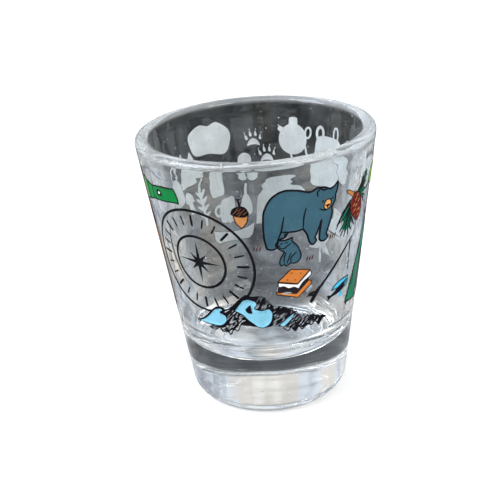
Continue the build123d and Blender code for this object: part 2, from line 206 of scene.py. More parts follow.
def pressed_soda_lime_glass(settings):
    """Pressed soda-lime glass: IOR 1.52, clear, with swell, ripple, dust, a handling film and a pale
    lip that is painted light.

    Swell bends what shows through it a little, fire-polishing has rippled the top few millimetres, dust
    shows as pale specks and handling leaves a faint film. The lip's pale haze is painted light: a white
    diffuse mixed into the glass stands in for the light that the lip catches and carries round inside
    the wall.
    """
    material, tree = new_material("pressed soda-lime glass")
    place = add_node(tree, "ShaderNodeTexCoord").outputs["Object"]
    # Swell from the mould's chill, about 9 mm from crest to crest
    swell = add_node(tree, "ShaderNodeTexNoise", {
        "Vector": place, "Scale": 1 / (9 * MM), "Detail": 1.0, "Roughness": 0.4})
    bump = add_node(tree, "ShaderNodeBump", {
        "Strength": 0.35, "Distance": 0.25 * MM, "Height": swell.outputs["Fac"]})
    # Ripple from fire-polishing the lip: from 6 mm below its top, full at 3 mm below
    height = add_node(tree, "ShaderNodeSeparateXYZ", {0: place}).outputs["Z"]
    flat = add_node(tree, "ShaderNodeMapping", {"Vector": place, "Scale": (1.0, 1.0, 2.2)})
    ripple = add_node(tree, "ShaderNodeTexNoise", {
        "Vector": flat.outputs[0], "Scale": 1 / (7 * MM), "Detail": 0.5})
    below = add_node(tree, "ShaderNodeMapRange", {
        "Value": height, "From Min": settings.height - 6 * MM,
        "From Max": settings.height - 3 * MM}, interpolation_type="SMOOTHSTEP")
    wave = add_node(tree, "ShaderNodeMath", {0: ripple.outputs["Fac"], 1: below.outputs[0]},
                    operation="MULTIPLY")
    waved = add_node(tree, "ShaderNodeBump", {
        "Strength": 0.5, "Distance": 0.30 * MM, "Height": wave.outputs[0],
        "Normal": bump.outputs["Normal"]})
    clear = add_node(tree, "ShaderNodeBsdfPrincipled", {
        "Base Color": linear(settings.tint), "Roughness": 0.0, "IOR": 1.52,
        "Transmission Weight": 1.0, "Normal": waved.outputs["Normal"]})
    # Dust: specks up to 0.17 mm in radius, one or none in each cell of 1.7 mm
    dust = add_node(tree, "ShaderNodeTexVoronoi", {"Vector": place, "Scale": 1 / (1.7 * MM)})
    near = add_node(tree, "ShaderNodeMapRange", {
        "Value": dust.outputs["Distance"], "From Min": 0.10, "From Max": 0.04})
    chosen = add_node(tree, "ShaderNodeMapRange", {
        "Value": dust.outputs["Color"], "From Min": 0.45, "From Max": 0.70})
    speck = add_node(tree, "ShaderNodeMath", {0: near.outputs[0], 1: chosen.outputs[0]},
                     operation="MULTIPLY")
    # Film from handling: patches about 6 mm across, broken up by finer smears
    film = add_node(tree, "ShaderNodeTexNoise", {
        "Vector": place, "Scale": 1 / (6 * MM), "Detail": 5.0, "Roughness": 0.65})
    hazy = add_node(tree, "ShaderNodeMapRange", {
        "Value": film.outputs["Fac"], "From Min": 0.45, "From Max": 0.75, "To Max": 0.05})
    # Painted light on the lip: a pale diffuse haze from 1.6 mm below its top, in place of the light
    # that the lip catches
    lip = add_node(tree, "ShaderNodeMapRange", {
        "Value": height, "From Min": settings.height - 1.6 * MM,
        "From Max": settings.height - 0.5 * MM, "To Max": 0.15}, interpolation_type="SMOOTHSTEP")
    # The handling film, plus the pale haze painted on the lip as light
    film_and_painted_lip_light = add_node(tree, "ShaderNodeMath", {0: hazy.outputs[0], 1: lip.outputs[0]},
                    operation="ADD")
    cover = add_node(tree, "ShaderNodeMath", {0: film_and_painted_lip_light.outputs[0], 1: speck.outputs[0]},
                     operation="ADD", use_clamp=True)
    # Pale diffuse for the dust, the handling film and the painted lip light
    pale = add_node(tree, "ShaderNodeBsdfDiffuse", {"Color": linear("#F2F5F5")})
    shader = add_node(tree, "ShaderNodeMixShader", {
        0: cover.outputs[0], 1: clear.outputs[0], 2: pale.outputs[0]})
    add_node(tree, "ShaderNodeOutputMaterial", {"Surface": shader.outputs[0]})
    return material


def fired_enamel(name, colour):
    """Screen-printed glass enamel, fired on: an even, nearly matt ink with fine mottle."""
    mottle = 0.06  # how far the ink's weight varies, as a share
    material, tree = new_material(name)
    place = add_node(tree, "ShaderNodeTexCoord").outputs["Object"]
    # Pigment grain of about 0.25 mm, and slow changes of ink weight over 4 mm
    grain = add_node(tree, "ShaderNodeTexNoise", {
        "Vector": place, "Scale": 1 / (0.25 * MM), "Detail": 2.0})
    weight = add_node(tree, "ShaderNodeTexNoise", {
        "Vector": place, "Scale": 1 / (4 * MM), "Detail": 2.0})
    mixed = add_node(tree, "ShaderNodeMix", {
        0: 0.5, 2: grain.outputs["Fac"], 3: weight.outputs["Fac"]}, data_type="FLOAT")
    ink = np.array(linear(colour)[:3])
    thin = (*(ink * (1 + mottle) + 0.1 * mottle).clip(0, 1), 1.0)
    full = (*(ink * (1 - 3 * mottle)).clip(0, 1), 1.0)
    ramp = add_node(tree, "ShaderNodeValToRGB", {"Fac": mixed.outputs[0]}, stops=[
        (0.35, full), (0.65, thin)])
    bump = add_node(tree, "ShaderNodeBump", {
        "Strength": 0.3, "Distance": 0.01 * MM, "Height": grain.outputs["Fac"]})
    shader = add_node(tree, "ShaderNodeBsdfPrincipled", {
        "Base Color": ramp.outputs["Color"], "Roughness": 0.22, "Specular IOR Level": 0.02,
        "Normal": bump.outputs["Normal"]})
    add_node(tree, "ShaderNodeOutputMaterial", {"Surface": shader.outputs[0]})
    return material


def ink_material(ink):
    """The enamel of one ink, made once."""
    name = f"{ink} glass enamel"
    return bpy.data.materials.get(name) or fired_enamel(
        name, getattr(bpy.context.scene.shot_enamel, ink))


# Flat drawing

def curve(points, closed=False, spans=7):
    """Points along a smooth curve through the given ones.

    Catmull-Rom: each span is a cubic whose slope at a point is half the step between the
    points on either side of it.
    """
    given = np.asarray(points, float)
    if len(given) == 2 and not closed:
        return given
    if closed:
        padded = np.vstack([given[-1:], given, given[:2]])
    else:
        padded = np.vstack([2 * given[:1] - given[1:2], given, 2 * given[-1:] - given[-2:-1]])
    before, start, end, after = padded[:-3], padded[1:-2], padded[2:-1], padded[3:]
    t = (np.arange(spans) / spans)[None, :, None]
    before, start, end, after = (p[:, None, :] for p in (before, start, end, after))
    made = 0.5 * (2 * start + (end - before) * t
                  + (2 * before - 5 * start + 4 * end - after) * t ** 2
                  + (3 * start - before - 3 * end + after) * t ** 3)
    made = made.reshape(-1, 2)
    return made if closed else np.vstack([made, given[-1:]])


def outline(*runs):
    """One closed outline from runs of points, each from where the last run ends.

    A run of one more point is a straight side, and a longer one is a curve.
    """
    starts = [[], *([run[-1]] for run in runs[:-1])]
    return np.vstack([curve([*start, *run])[:-1] for start, run in zip(starts, runs)])


def polygon(*points):
    """A straight-sided outline."""
    return np.array(points, float)


def blob(*points):
    """A smooth closed outline."""
    return curve(points, closed=True)


def ellipse(centre, across, up, turn=0.0, count=36):
    """An ellipse's outline: centre plus (across cos t, up sin t), turned by some degrees."""
    t = np.linspace(0, 2 * np.pi, count, endpoint=False)
    flat = np.stack([across * np.cos(t), up * np.sin(t)], 1)
    c, s = math.cos(math.radians(turn)), math.sin(math.radians(turn))
    return flat @ np.array([[c, s], [-s, c]]) + np.asarray(centre, float)


def even(path, step):
    """The same path with points at even distances along it."""
    length = np.concatenate([[0], np.cumsum(np.linalg.norm(np.diff(path, axis=0), axis=1))])
    at = np.linspace(0, length[-1], max(3, int(length[-1] / step) + 1))
    return np.stack([np.interp(at, length, path[:, 0]), np.interp(at, length, path[:, 1])], 1)


def stroke(points, width=0.34, start=1.0, end=1.0, closed=False, smooth=True):
    """A pen line along a path, with round ends.

    Its half width runs from start to end times width / 2, full in the middle, by a raised
    sine, and the outline is the path plus and minus that along its normal.
    """
    path = curve(points, closed) if smooth else np.asarray(points, float)
    if closed:
        path = np.vstack([path, path[:1]])
    path = even(path, max(0.22, 0.6 * width))
    if closed:
        path = np.vstack([path, path[1:2]])
    step = np.gradient(path, axis=0)
    step /= np.linalg.norm(step, axis=1, keepdims=True).clip(1e-9)
    normal = np.stack([-step[:, 1], step[:, 0]], 1)
    t = np.linspace(0, 1, len(path))
    ends = start + (end - start) * t
    half = width / 2 * (ends + (1 - ends) * np.sin(np.pi * t))[:, None]
    cap = np.radians(np.linspace(-90, 90, 5)[1:-1, None])
    tip = path[-1] + half[-1] * (np.cos(cap) * step[-1] + np.sin(cap) * normal[-1])
    tail = path[0] - half[0] * (np.cos(cap) * step[0] + np.sin(cap) * normal[0])
    return np.vstack([path - half * normal, tip, (path + half * normal)[::-1], tail])


def winding(points, loops):
    """How many times the loops go round each point: the sum of signed crossings to its right."""
    count = np.zeros(len(points), int)
    for a in loops:
        low, high = a.min(0), a.max(0)
        near = np.flatnonzero(((points >= low) & (points <= high)).all(1))
        if not len(near):
            continue
        b = np.roll(a, -1, 0)
        px, py = points[near, :1], points[near, 1:]
        cross = (b[:, 0] - a[:, 0]) * (py - a[:, 1]) - (px - a[:, 0]) * (b[:, 1] - a[:, 1])
        up = (a[:, 1] <= py) & (b[:, 1] > py) & (cross > 0)
        down = (a[:, 1] > py) & (b[:, 1] <= py) & (cross < 0)
        count[near] += up.sum(1) - down.sum(1)
    return count


def covered(points, loops):
    """Which points lie in any of the loops, each loop taken by itself."""
    inside = np.zeros(len(points), bool)
    for loop in loops:
        inside |= winding(points, [loop]) != 0
    return inside


def paint(loops, within=(), without=(), grid=0.9):
    """Triangles that fill the loops' union, kept inside some loops and outside others.

    A constrained Delaunay triangulation of every loop with a grid of points, so that the
    flat drawing can bend round the wall. Returns points and triangles.
    """
    loops, within, without = list(loops), list(within), list(without)
    every = loops + within + without
    low, high = np.vstack(loops).min(0), np.vstack(loops).max(0)
    xs = np.arange(low[0], high[0] + grid, grid)
    ys = np.arange(low[1], high[1] + grid, grid)
    mesh = np.stack(np.meshgrid(xs, ys), -1).reshape(-1, 2) + 0.0137
    points = np.vstack(every + [mesh])
    edges, first = [], 0
    for loop in every:
        index = np.arange(len(loop)) + first
        edges += np.stack([index, np.roll(index, -1)], 1).tolist()
        first += len(loop)
    made, _, faces, *_ = delaunay_2d_cdt(
        [Vector(p) for p in points], edges, [], 0, 1e-5, False)
    made = np.array([tuple(p) for p in made])
    faces = np.array(faces)
    middle = made[faces].mean(1)
    keep = covered(middle, loops)
    if within:
        keep &= covered(middle, within)
    if without:
        keep &= ~covered(middle, without)
    faces = faces[keep]
    a, b, c = made[faces[:, 0]], made[faces[:, 1]], made[faces[:, 2]]
    area = (b[:, 0] - a[:, 0]) * (c[:, 1] - a[:, 1]) - (b[:, 1] - a[:, 1]) * (c[:, 0] - a[:, 0])
    faces[area < 0] = faces[area < 0][:, ::-1]
    used, faces = np.unique(faces, return_inverse=True)
    return made[used], faces.reshape(-1, 3)


# Laying a drawing on the wall

def wall_slope():
    """How much the outer radius grows for each metre of height."""
    glass = bpy.context.scene.shot_glass
    return (glass.lip_radius - glass.foot_radius) / (glass.height - glass.lip_rounding)


def wrap(points, angle, height, above):
    """Places flat points (mm) on the outer wall, some distance (m) above it.

    A point's height is the drawing's height plus y times the cosine of the wall's lean. Its
    angle is the drawing's angle plus x over the wall's radius there.
    """
    glass = bpy.context.scene.shot_glass
    slope = wall_slope()
    lean = math.atan(slope)
    z = height * MM + points[:, 1] * MM * math.cos(lean)
    radius = glass.foot_radius + slope * z
    turn = math.radians(angle) + points[:, 0] * MM / radius
    radius = radius + above * math.cos(lean)
    return np.stack([radius * np.sin(turn), -radius * np.cos(turn),
                     z - above * math.sin(lean)], 1)


def make_object(name, verts, faces, material, smooth):
    """A mesh object at the origin. smooth is one flag for each face."""
    mesh = bpy.data.meshes.new(name)
    mesh.from_pydata(verts.tolist(), [], faces)
    mesh.polygons.foreach_set("use_smooth", np.asarray(smooth, bool))
    mesh.materials.append(material)
    mesh.update()
    piece = bpy.data.objects.new(name, mesh)
    bpy.context.scene.collection.objects.link(piece)
    return piece


# Depth of each layer above the glass's surface, in layers. The white base and the lines drawn
# straight on the glass start a little inside it, because enamel is fused to the wall.
LEVELS = {
    "base": (-0.5, 1.0),
    "colour": (1.03, 1.8),
    "key": (0.6, 2.6),
    "ridge": (1.2, 2.9),
}


def enamel(name, drawing, place, level, ink, nodes=()):
    """Turns a flat drawing into a closed layer of enamel on the wall.

    The drawing is wrapped at two depths, and each edge that only one triangle has gets a side.
    """
    points, faces = drawing
    layer = bpy.context.scene.shot_enamel.layer
    bottom, top = (wrap(points, *place, depth * layer) for depth in LEVELS[level])
    count = len(points)
    sides = np.concatenate([faces[:, [0, 1]], faces[:, [1, 2]], faces[:, [2, 0]]])
    key = sides[:, 0].astype(np.int64) * count + sides[:, 1]
    back = sides[:, 1].astype(np.int64) * count + sides[:, 0]
    rim = sides[~np.isin(key, back)]
    walls = np.stack([rim[:, 1], rim[:, 0], rim[:, 0] + count, rim[:, 1] + count], 1)
    every = (faces + count).tolist() + faces[:, ::-1].tolist() + walls.tolist()
    smooth = [True] * (2 * len(faces)) + [False] * len(walls)
    piece = make_object(name, np.vstack([bottom, top]), every, ink_material(ink), smooth)
    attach(piece, "root")
    if nodes:
        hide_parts(*nodes)
    return piece


def picture(name, place, silhouette, colours, lines=(), trap=0.16):
    """Prints one coloured picture: a white base, spot colours over it and black key lines.

    The base stands proud of the silhouette's outlines by the trap, in millimetres. Colours are
    pairs of an ink and its outlines, where a later one is cut out of the earlier ones.
    """
    edges = [stroke(loop, 2 * trap, closed=True, smooth=False) for loop in silhouette]
    enamel(f"{name}_base", paint(silhouette + edges), place, "base", "white",
           [f"{name}_white_base"])
    for rank, (ink, loops) in enumerate(colours):
        later = [loop for _, above in colours[rank + 1:] for loop in above]
        enamel(f"{name}_{ink}", paint(loops, within=silhouette, without=later), place, "colour",
               ink, [f"{name}_colours"] if rank == 0 else [])
    if len(lines):
        enamel(f"{name}_lines", paint(lines), place, "key", "black")


def pen_lines(paths, width=0.34, start=0.7, end=0.6):
    """A pen line along each path."""
    return [stroke(path, width, start, end) for path in paths]


def edge_lines(loops, width=0.34):
    """A pen line round each outline."""
    return [stroke(loop, width, closed=True, smooth=False) for loop in loops]


# Tumbler

def straight(start, end, count):
    """Evenly spaced points between two ends, without the ends."""
    t = np.linspace(0, 1, count + 2)[1:-1, None]
    return (1 - t) * np.asarray(start) + t * np.asarray(end)


def rounded(before, corner, after, radius, count):
    """The arc that rounds a corner: its centre lies on the corner's bisector."""
    before, corner, after = (np.asarray(p, float) for p in (before, corner, after))
    one = (before - corner) / np.linalg.norm(before - corner)
    two = (after - corner) / np.linalg.norm(after - corner)
    half = math.acos(np.clip(one @ two, -1, 1)) / 2
    middle = (one + two) / np.linalg.norm(one + two)
    centre = corner + middle * radius / math.sin(half)
    start = corner + one * radius / math.tan(half) - centre
    end = corner + two * radius / math.tan(half) - centre
    turn = math.atan2(start[0] * end[1] - start[1] * end[0], start @ end)
    t = np.linspace(0, turn, count)[:, None]
    side = np.array([-start[1], start[0]])
    return centre + np.cos(t) * start + np.sin(t) * side


def tumbler_profile(glass):
    """Half section of the tumbler, from under the foot round the outside to the inside floor."""
    recess, recess_radius, recess_edge = 0.7 * MM, 12.4 * MM, 1.2 * MM
    top = glass.foot_radius + wall_slope() * glass.height
    corners = [
        (0.0, recess), (recess_radius, recess), (recess_radius + recess_edge, 0.0),
        (glass.foot_radius, 0.0), (top, glass.height), (top - glass.rim_wall, glass.height),
        (glass.floor_radius, glass.floor_height), (0.0, glass.floor_height)]
    radii = [0.9 * MM, 0.7 * MM, glass.foot_rounding, glass.lip_rounding, glass.lip_rounding,
             glass.floor_rounding]
    counts = [6, 6, 14, 14, 14, 24]
    spans = [8, 2, 1, 60, 1, 60, 12]
    bends = [rounded(corners[i], corners[i + 1], corners[i + 2], radii[i], counts[i])
             for i in range(6)]
    path = [np.array([corners[0]])]
    for i, count in enumerate(spans):
        start = path[-1][-1]
        end = bends[i][0] if i < 6 else np.array(corners[-1])
        path.append(straight(start, end, count))
        path.append(bends[i] if i < 6 else np.array([corners[-1]]))
    return np.vstack(path)


def turned(name, profile, segments, material, ripple):
    """Turns a half section into a closed body, with a small ripple in its radius.

    A profile point (r, z) becomes (r' sin t, -r' cos t, z), where r' = r + ripple(t, r, z). The
    profile's ends lie on the axis, and each becomes one point.
    """
    t = np.linspace(0, 2 * np.pi, segments, endpoint=False)
    r, z = profile[1:-1, 0][:, None], profile[1:-1, 1][:, None]
    radius = r + ripple(t[None, :], r, z)
    rings = np.stack([radius * np.sin(t), -radius * np.cos(t), np.broadcast_to(z, radius.shape)], -1)
    rows = len(r)
    index = np.arange(rows * segments).reshape(rows, segments)
    beside = np.roll(index, -1, 1)
    quads = np.stack([index[:-1], beside[:-1], beside[1:], index[1:]], -1).reshape(-1, 4)
    first, last = rows * segments, rows * segments + 1
    foot = np.stack([np.full(segments, first), beside[0], index[0]], 1)
    floor = np.stack([np.full(segments, last), index[-1], beside[-1]], 1)
    verts = np.vstack([rings.reshape(-1, 3), [[0, 0, profile[0, 1]], [0, 0, profile[-1, 1]]]])
    faces = quads.tolist() + foot.tolist() + floor.tolist()
    return make_object(name, verts, faces, material, [True] * len(faces))


def make_tumbler():
    """The glass body, with the swell that the mould leaves in its walls."""
    glass = bpy.context.scene.shot_glass

    def ripple(t, r, z):
        """A few waves round the glass, strongest inside near the lip.

        The sum of three sines of the angle and height, times a depth. The depth is 0.01 mm, and
        on the inner wall up to 0.05 mm more, by a bell curve of height that peaks under the lip.
        """
        inside = (r < glass.foot_radius + wall_slope() * z - 0.4 * glass.rim_wall)
        near_lip = np.exp(-((z - 0.9 * glass.height) / (0.1 * glass.height)) ** 2)
        waves = np.sin(3 * t + 0.7) + 0.6 * np.sin(7 * t + 260 * z) + 0.4 * np.sin(11 * t - 410 * z)
        return waves * (0.010 + 0.05 * near_lip * inside) * MM * (r > 0.2 * glass.foot_radius)

    piece = turned("glass_tumbler_body", tumbler_profile(glass), 288,
                   pressed_soda_lime_glass(glass), ripple)
    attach(piece, "root")
    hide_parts("glass_tumbler")


# Stage

def side_share(tree, axes):
    """How far a direction or a place lies to the side: 0 in front and behind, 1 at the sides."""
    flat = add_node(tree, "ShaderNodeCombineXYZ", {"X": axes.outputs["X"], "Y": axes.outputs["Y"]})
    far = add_node(tree, "ShaderNodeVectorMath", {0: flat.outputs[0]}, operation="LENGTH")
    across = add_node(tree, "ShaderNodeMath", {0: axes.outputs["X"]}, operation="ABSOLUTE")
    share = add_node(tree, "ShaderNodeMath", {0: across.outputs[0], 1: far.outputs["Value"]},
                     operation="DIVIDE")
    side = add_node(tree, "ShaderNodeMapRange", {
        "Value": share.outputs[0], "From Min": 0.40, "From Max": 0.62},
        interpolation_type="SMOOTHSTEP")
    return side.outputs[0], far.outputs["Value"]


def floor_material():
    """Pale card for the camera and for the light on the prints.

    The glass sees a darker table in front and behind, as it would in a room, because clear
    glass shows only by the dark and pale things that it bends into view.
    """
    material, tree = new_material("pale card")
    spot = add_node(tree, "ShaderNodeNewGeometry").outputs["Position"]
    axes = add_node(tree, "ShaderNodeSeparateXYZ", {0: spot})
    side, far = side_share(tree, axes)
    # Ramps run from the axis to 200 mm away
    scaled = add_node(tree, "ShaderNodeMath", {0: far, 1: 1 / (200 * MM)},
                      operation="MULTIPLY")
    ahead = add_node(tree, "ShaderNodeValToRGB", {"Fac": scaled.outputs[0]}, stops=[
        (0.0, grey(0.50)), (0.035, grey(0.62)), (0.045, grey(0.30)), (0.055, grey(0.70)),
        (0.075, grey(0.55)), (0.10, grey(0.11)), (0.20, grey(0.11)), (0.32, grey(0.20)),
        (0.55, grey(0.17)), (0.78, grey(0.035))])
    aside = add_node(tree, "ShaderNodeValToRGB", {"Fac": scaled.outputs[0]}, stops=[
        (0.07, grey(0.72)), (0.12, grey(0.50)), (0.35, grey(0.58)), (0.60, grey(0.55)),
        (0.95, grey(0.20))])
    room = add_node(tree, "ShaderNodeMix", {0: side, 6: ahead.outputs[0], 7: aside.outputs[0]},
                    data_type="RGBA")
    # Cloudy patches about 14 mm across, cool where they are dark and warm where they are pale
    cloud = add_node(tree, "ShaderNodeTexNoise", {
        "Vector": spot, "Scale": 1 / (14 * MM), "Detail": 4.0, "Roughness": 0.65,
        "Distortion": 0.6})
    patchy = add_node(tree, "ShaderNodeMapRange", {
        "Value": cloud.outputs["Fac"], "From Min": 0.32, "From Max": 0.68, "To Min": 0.4,
        "To Max": 1.7})
    # Streaks that run away from the camera, in blue-grey and brown
    stretch = add_node(tree, "ShaderNodeMapping", {"Vector": spot, "Scale": (40.0, 7.0, 1.0)})
    streak = add_node(tree, "ShaderNodeTexNoise", {
        "Vector": stretch.outputs[0], "Scale": 1.0, "Detail": 4.0, "Roughness": 0.6})
    tint = add_node(tree, "ShaderNodeValToRGB", {"Fac": streak.outputs["Fac"]}, stops=[
        (0.36, (0.34, 0.36, 0.42, 1.0)), (0.46, (0.80, 0.88, 1.0, 1.0)),
        (0.54, (0.92, 0.95, 0.97, 1.0)), (0.64, (1.0, 0.92, 0.80, 1.0))])
    patch = add_node(tree, "ShaderNodeMix", {0: 1.0, 6: room.outputs[2], 7: tint.outputs[0]},
                     data_type="RGBA", blend_type="MULTIPLY")
    glow = add_node(tree, "ShaderNodeEmission", {
        "Color": patch.outputs[2], "Strength": patchy.outputs[0]})
    fill = add_node(tree, "ShaderNodeEmission", {"Color": grey(0.9), "Strength": 1.0})
    card = add_node(tree, "ShaderNodeBsdfDiffuse", {"Color": linear("#F4F4F3")})
    ray = add_node(tree, "ShaderNodeLightPath")
    lighting = add_node(tree, "ShaderNodeMixShader", {
        0: ray.outputs["Diffuse Depth"], 1: glow.outputs[0], 2: fill.outputs[0]})
    seen = add_node(tree, "ShaderNodeMixShader", {
        0: ray.outputs["Is Camera Ray"], 1: lighting.outputs[0], 2: card.outputs[0]})
    add_node(tree, "ShaderNodeOutputMaterial", {"Surface": seen.outputs[0]})
    return material


def make_world():
    """Soft studio light from above. At eye level the glass sees a dim room, pale at the sides."""
    world = bpy.data.worlds.new("soft studio")
    bpy.context.scene.world = world
    world.use_nodes = True
    tree = world.node_tree
    tree.nodes.clear()
    place = add_node(tree, "ShaderNodeTexCoord").outputs["Generated"]
    axes = add_node(tree, "ShaderNodeSeparateXYZ", {0: place})
    side, _ = side_share(tree, axes)
    ahead = add_node(tree, "ShaderNodeValToRGB", {"Fac": axes.outputs["Z"]}, stops=[
        (0.0, grey(0.08)), (0.12, grey(0.13)), (0.40, grey(0.72)), (0.50, grey(0.42)),
        (0.56, grey(0.85)), (0.66, grey(0.5)), (0.74, grey(0.9)), (1.0, grey(1.0))])
    aside = add_node(tree, "ShaderNodeValToRGB", {"Fac": axes.outputs["Z"]}, stops=[
        (0.0, grey(0.45)), (0.2, grey(0.65)), (0.5, grey(0.9)), (1.0, grey(1.0))])
    room = add_node(tree, "ShaderNodeMix", {0: side, 6: ahead.outputs[0], 7: aside.outputs[0]},
                    data_type="RGBA")
    # Soft patches of blue-grey and brown, as of windows and furniture
    streak = add_node(tree, "ShaderNodeTexNoise", {
        "Vector": place, "Scale": 3.0, "Detail": 3.0, "Roughness": 0.55})
    tint = add_node(tree, "ShaderNodeValToRGB", {"Fac": streak.outputs["Fac"]}, stops=[
        (0.34, (0.36, 0.38, 0.44, 1.0)), (0.46, (0.80, 0.87, 0.97, 1.0)),
        (0.56, (0.82, 0.78, 0.73, 1.0)), (0.66, (1.0, 0.99, 0.97, 1.0))])
    streaky = add_node(tree, "ShaderNodeMix", {0: 1.0, 6: room.outputs[2], 7: tint.outputs[0]},
                       data_type="RGBA", blend_type="MULTIPLY")
    dim = add_node(tree, "ShaderNodeBackground", {"Color": streaky.outputs[2], "Strength": 1.15})
    fill = add_node(tree, "ShaderNodeBackground", {"Color": linear("#FAFCFF"), "Strength": 1.15})
    pale = add_node(tree, "ShaderNodeBackground", {"Color": grey(0.97), "Strength": 1.0})
    ray = add_node(tree, "ShaderNodeLightPath")
    lighting = add_node(tree, "ShaderNodeMixShader", {
        0: ray.outputs["Diffuse Depth"], 1: dim.outputs[0], 2: fill.outputs[0]})
    seen = add_node(tree, "ShaderNodeMixShader", {
        0: ray.outputs["Is Camera Ray"], 1: lighting.outputs[0], 2: pale.outputs[0]})
    add_node(tree, "ShaderNodeOutputWorld", {"Surface": seen.outputs[0]})


def softbox(name, place, aim, size, power, colour):
    """A square area light that points at a place."""
    light = bpy.data.lights.new(name, "AREA")
    light.shape = "RECTANGLE"
    light.size, light.size_y = size
    light.energy = power
    light.color = linear(colour)[:3]
    lamp = bpy.data.objects.new(name, light)
    lamp.location = place
    lamp.rotation_euler = (Vector(aim) - Vector(place)).to_track_quat("-Z", "Y").to_euler()
    bpy.context.scene.collection.objects.link(lamp)


def make_camera():
    """Camera on the front of the glass, turned so that the glass stands low and right of centre."""
    stage = bpy.context.scene.shot_stage
    centre = Vector((0, 0, (cad_box[0][2] + cad_box[1][2]) / 2))
    sine, cosine = math.sin(stage.elevation), math.cos(stage.elevation)
    place = centre + Vector((0, -cosine, sine)) * stage.distance
    ahead = (centre - place).normalized()
    level = Vector((1, 0, 0))
    above = level.cross(ahead)
    right = level * math.cos(stage.roll) + above * math.sin(stage.roll)
    up = above * math.cos(stage.roll) - level * math.sin(stage.roll)
    aim = (ahead - right * stage.aim_right + up * stage.aim_down).normalized()
    across = aim.cross(up).normalized()
    data = bpy.data.cameras.new("camera")
    data.sensor_width = 36.0
    data.lens = stage.lens
    data.clip_start = 0.005
    camera = bpy.data.objects.new("camera", data)
    turn = Matrix((across, across.cross(aim), -aim)).transposed()
    camera.matrix_world = Matrix.Translation(place) @ turn.to_4x4()
    bpy.context.scene.collection.objects.link(camera)
    bpy.context.scene.camera = camera


def make_stage():
    """Camera, light, and a pale floor just under the foot."""
    scene = bpy.context.scene
    scene.view_settings.view_transform = "Standard"
    # Light is led a long way round inside the lip and the foot before it leaves the glass
    scene.cycles.max_bounces = 40
    scene.cycles.transmission_bounces = 40
    scene.cycles.glossy_bounces = 16
    make_camera()
    make_world()
    size = 4.0  # half the floor's side, in metres
    corners = np.array([[-1, -1, 0], [1, -1, 0], [1, 1, 0], [-1, 1, 0]]) * size
    corners[:, 2] = cad_box[0][2] - 0.01 * MM
    make_object("floor", corners, [(0, 1, 2, 3)], floor_material(), [False])
    softbox("window", (-0.5, -0.15, 0.45), (0, 0, 0.03), (0.35, 0.5), 4.0, "#E8F1FF")
    softbox("fill", (0.45, -0.5, 0.5), (0, 0, 0.03), (0.4, 0.4), 2.5, "#FFF8F0")


# Pictures on the front

def make_bear():
    """A bear that looks round at its cub, in blue-grey with a tan muzzle."""
    body = outline([(-7.6, 0), (-7.4, 2.7), (-6.1, 5.2), (-3.9, 6.4), (-1.2, 6.1), (1.2, 5.3),
        (2.6, 5.8)], [(4.2, 5.6), (5.6, 4.9)], [(6.6, 5.2), (7.5, 6)], [(7.4, 4.6), (7, 3.4)],
        [(6.9, 2.2), (6.2, 0.9), (6.3, -0.4), (5.6, -2.8), (5, -4.4)], [(5.4, -5.2), (4.6, -5.8),
        (3.6, -5.4), (3.5, -4), (3.9, -1)], [(3.2, -2.9), (2.5, -4.5)], [(2.8, -5.3), (2, -5.9),
        (1.3, -5.2)], [(0.8, -3.5), (0, -2.1)], [(-1.4, -2.3), (-2.9, -2.2)],
        [(-3.6, -3.2), (-4.6, -3.6), (-5.3, -4.6)], [(-5.1, -5.3), (-6, -5.6), (-6.9, -5.3)],
        [(-7.4, -3), (-7.6, 0)])
    muzzle = ellipse((5.15, 1.85), 0.82, 1.05, turn=-18)
    lines = edge_lines([body], 0.36) + edge_lines([muzzle], 0.24)
    lines += pen_lines([[(-3.8, 1.1), (-4, -0.4), (-4.3, -2), (-5.2, -4.5)], [(-4.2, -2), (-2.9, -2.2)],
        [(-3.5, -2.4), (-3.6, -3)], [(0.5, 2.1), (0.1, 0.4), (0, -2)], [(3.4, 5.4), (2.8, 4.9),
        (2.9, 4)], [(3.4, 5.6), (4.2, 5), (5.2, 5.1)]], 0.3)
    lines += pen_lines([[(3.4, 1.3), (4.2, 0.85), (5, 0.8), (6, 1.2)], [(3.9, 2.6), (4.3, 2.9)],
        [(6.1, 2.7), (6.5, 2.95)], [(4.7, 1.75), (5.2, 1.45), (5.7, 1.75)], [(5, 1.7), (5.5, 1.75)],
        [(5.2, 1.4), (5.1, 1.1)]], 0.28)
    picture("bear", (20, 46), [body], [("fur", [body]), ("tan", [muzzle])], lines)


def make_cub():
    """A small cub that sits and looks back."""
    body = outline([(-2.1, 3.1), (-1.3, 2.7), (-0.3, 2.8), (0.7, 3.1)], [(0.6, 2.3), (1.4, 1.4),
        (2.1, 0), (2.3, -1.5), (1.6, -2.5)], [(0.9, -2.6), (0.2, -2.4)], [(-0.6, -3), (-0.9, -2.4)],
        [(-1.6, -2.8), (-1.8, -1.6), (-0.9, 0.2)], [(-1.9, 0.9), (-2.2, 1.6), (-2.1, 3.1)])
    lines = edge_lines([body], 0.26) + pen_lines([[(-0.6, 0), (-1, -1.2), (-1, -2.2)],
        [(0.3, -0.2), (-0.1, -1.4), (-0.5, -2.4)], [(0.3, -2.2), (0.4, -1.2), (1.4, -0.2)],
        [(-1.9, 1.3), (-1.1, 0.9), (-0.4, 1.4), (0.3, 1.9)], [(-1.6, 2), (-1.3, 2.1)],
        [(-0.7, 2.1), (-0.3, 2.2)], [(-2.2, 1.6), (-1.7, 1.6)]], 0.24)
    picture("bear_cub", (13, 39.5), [body], [("fur", [body])], lines, trap=0.1)


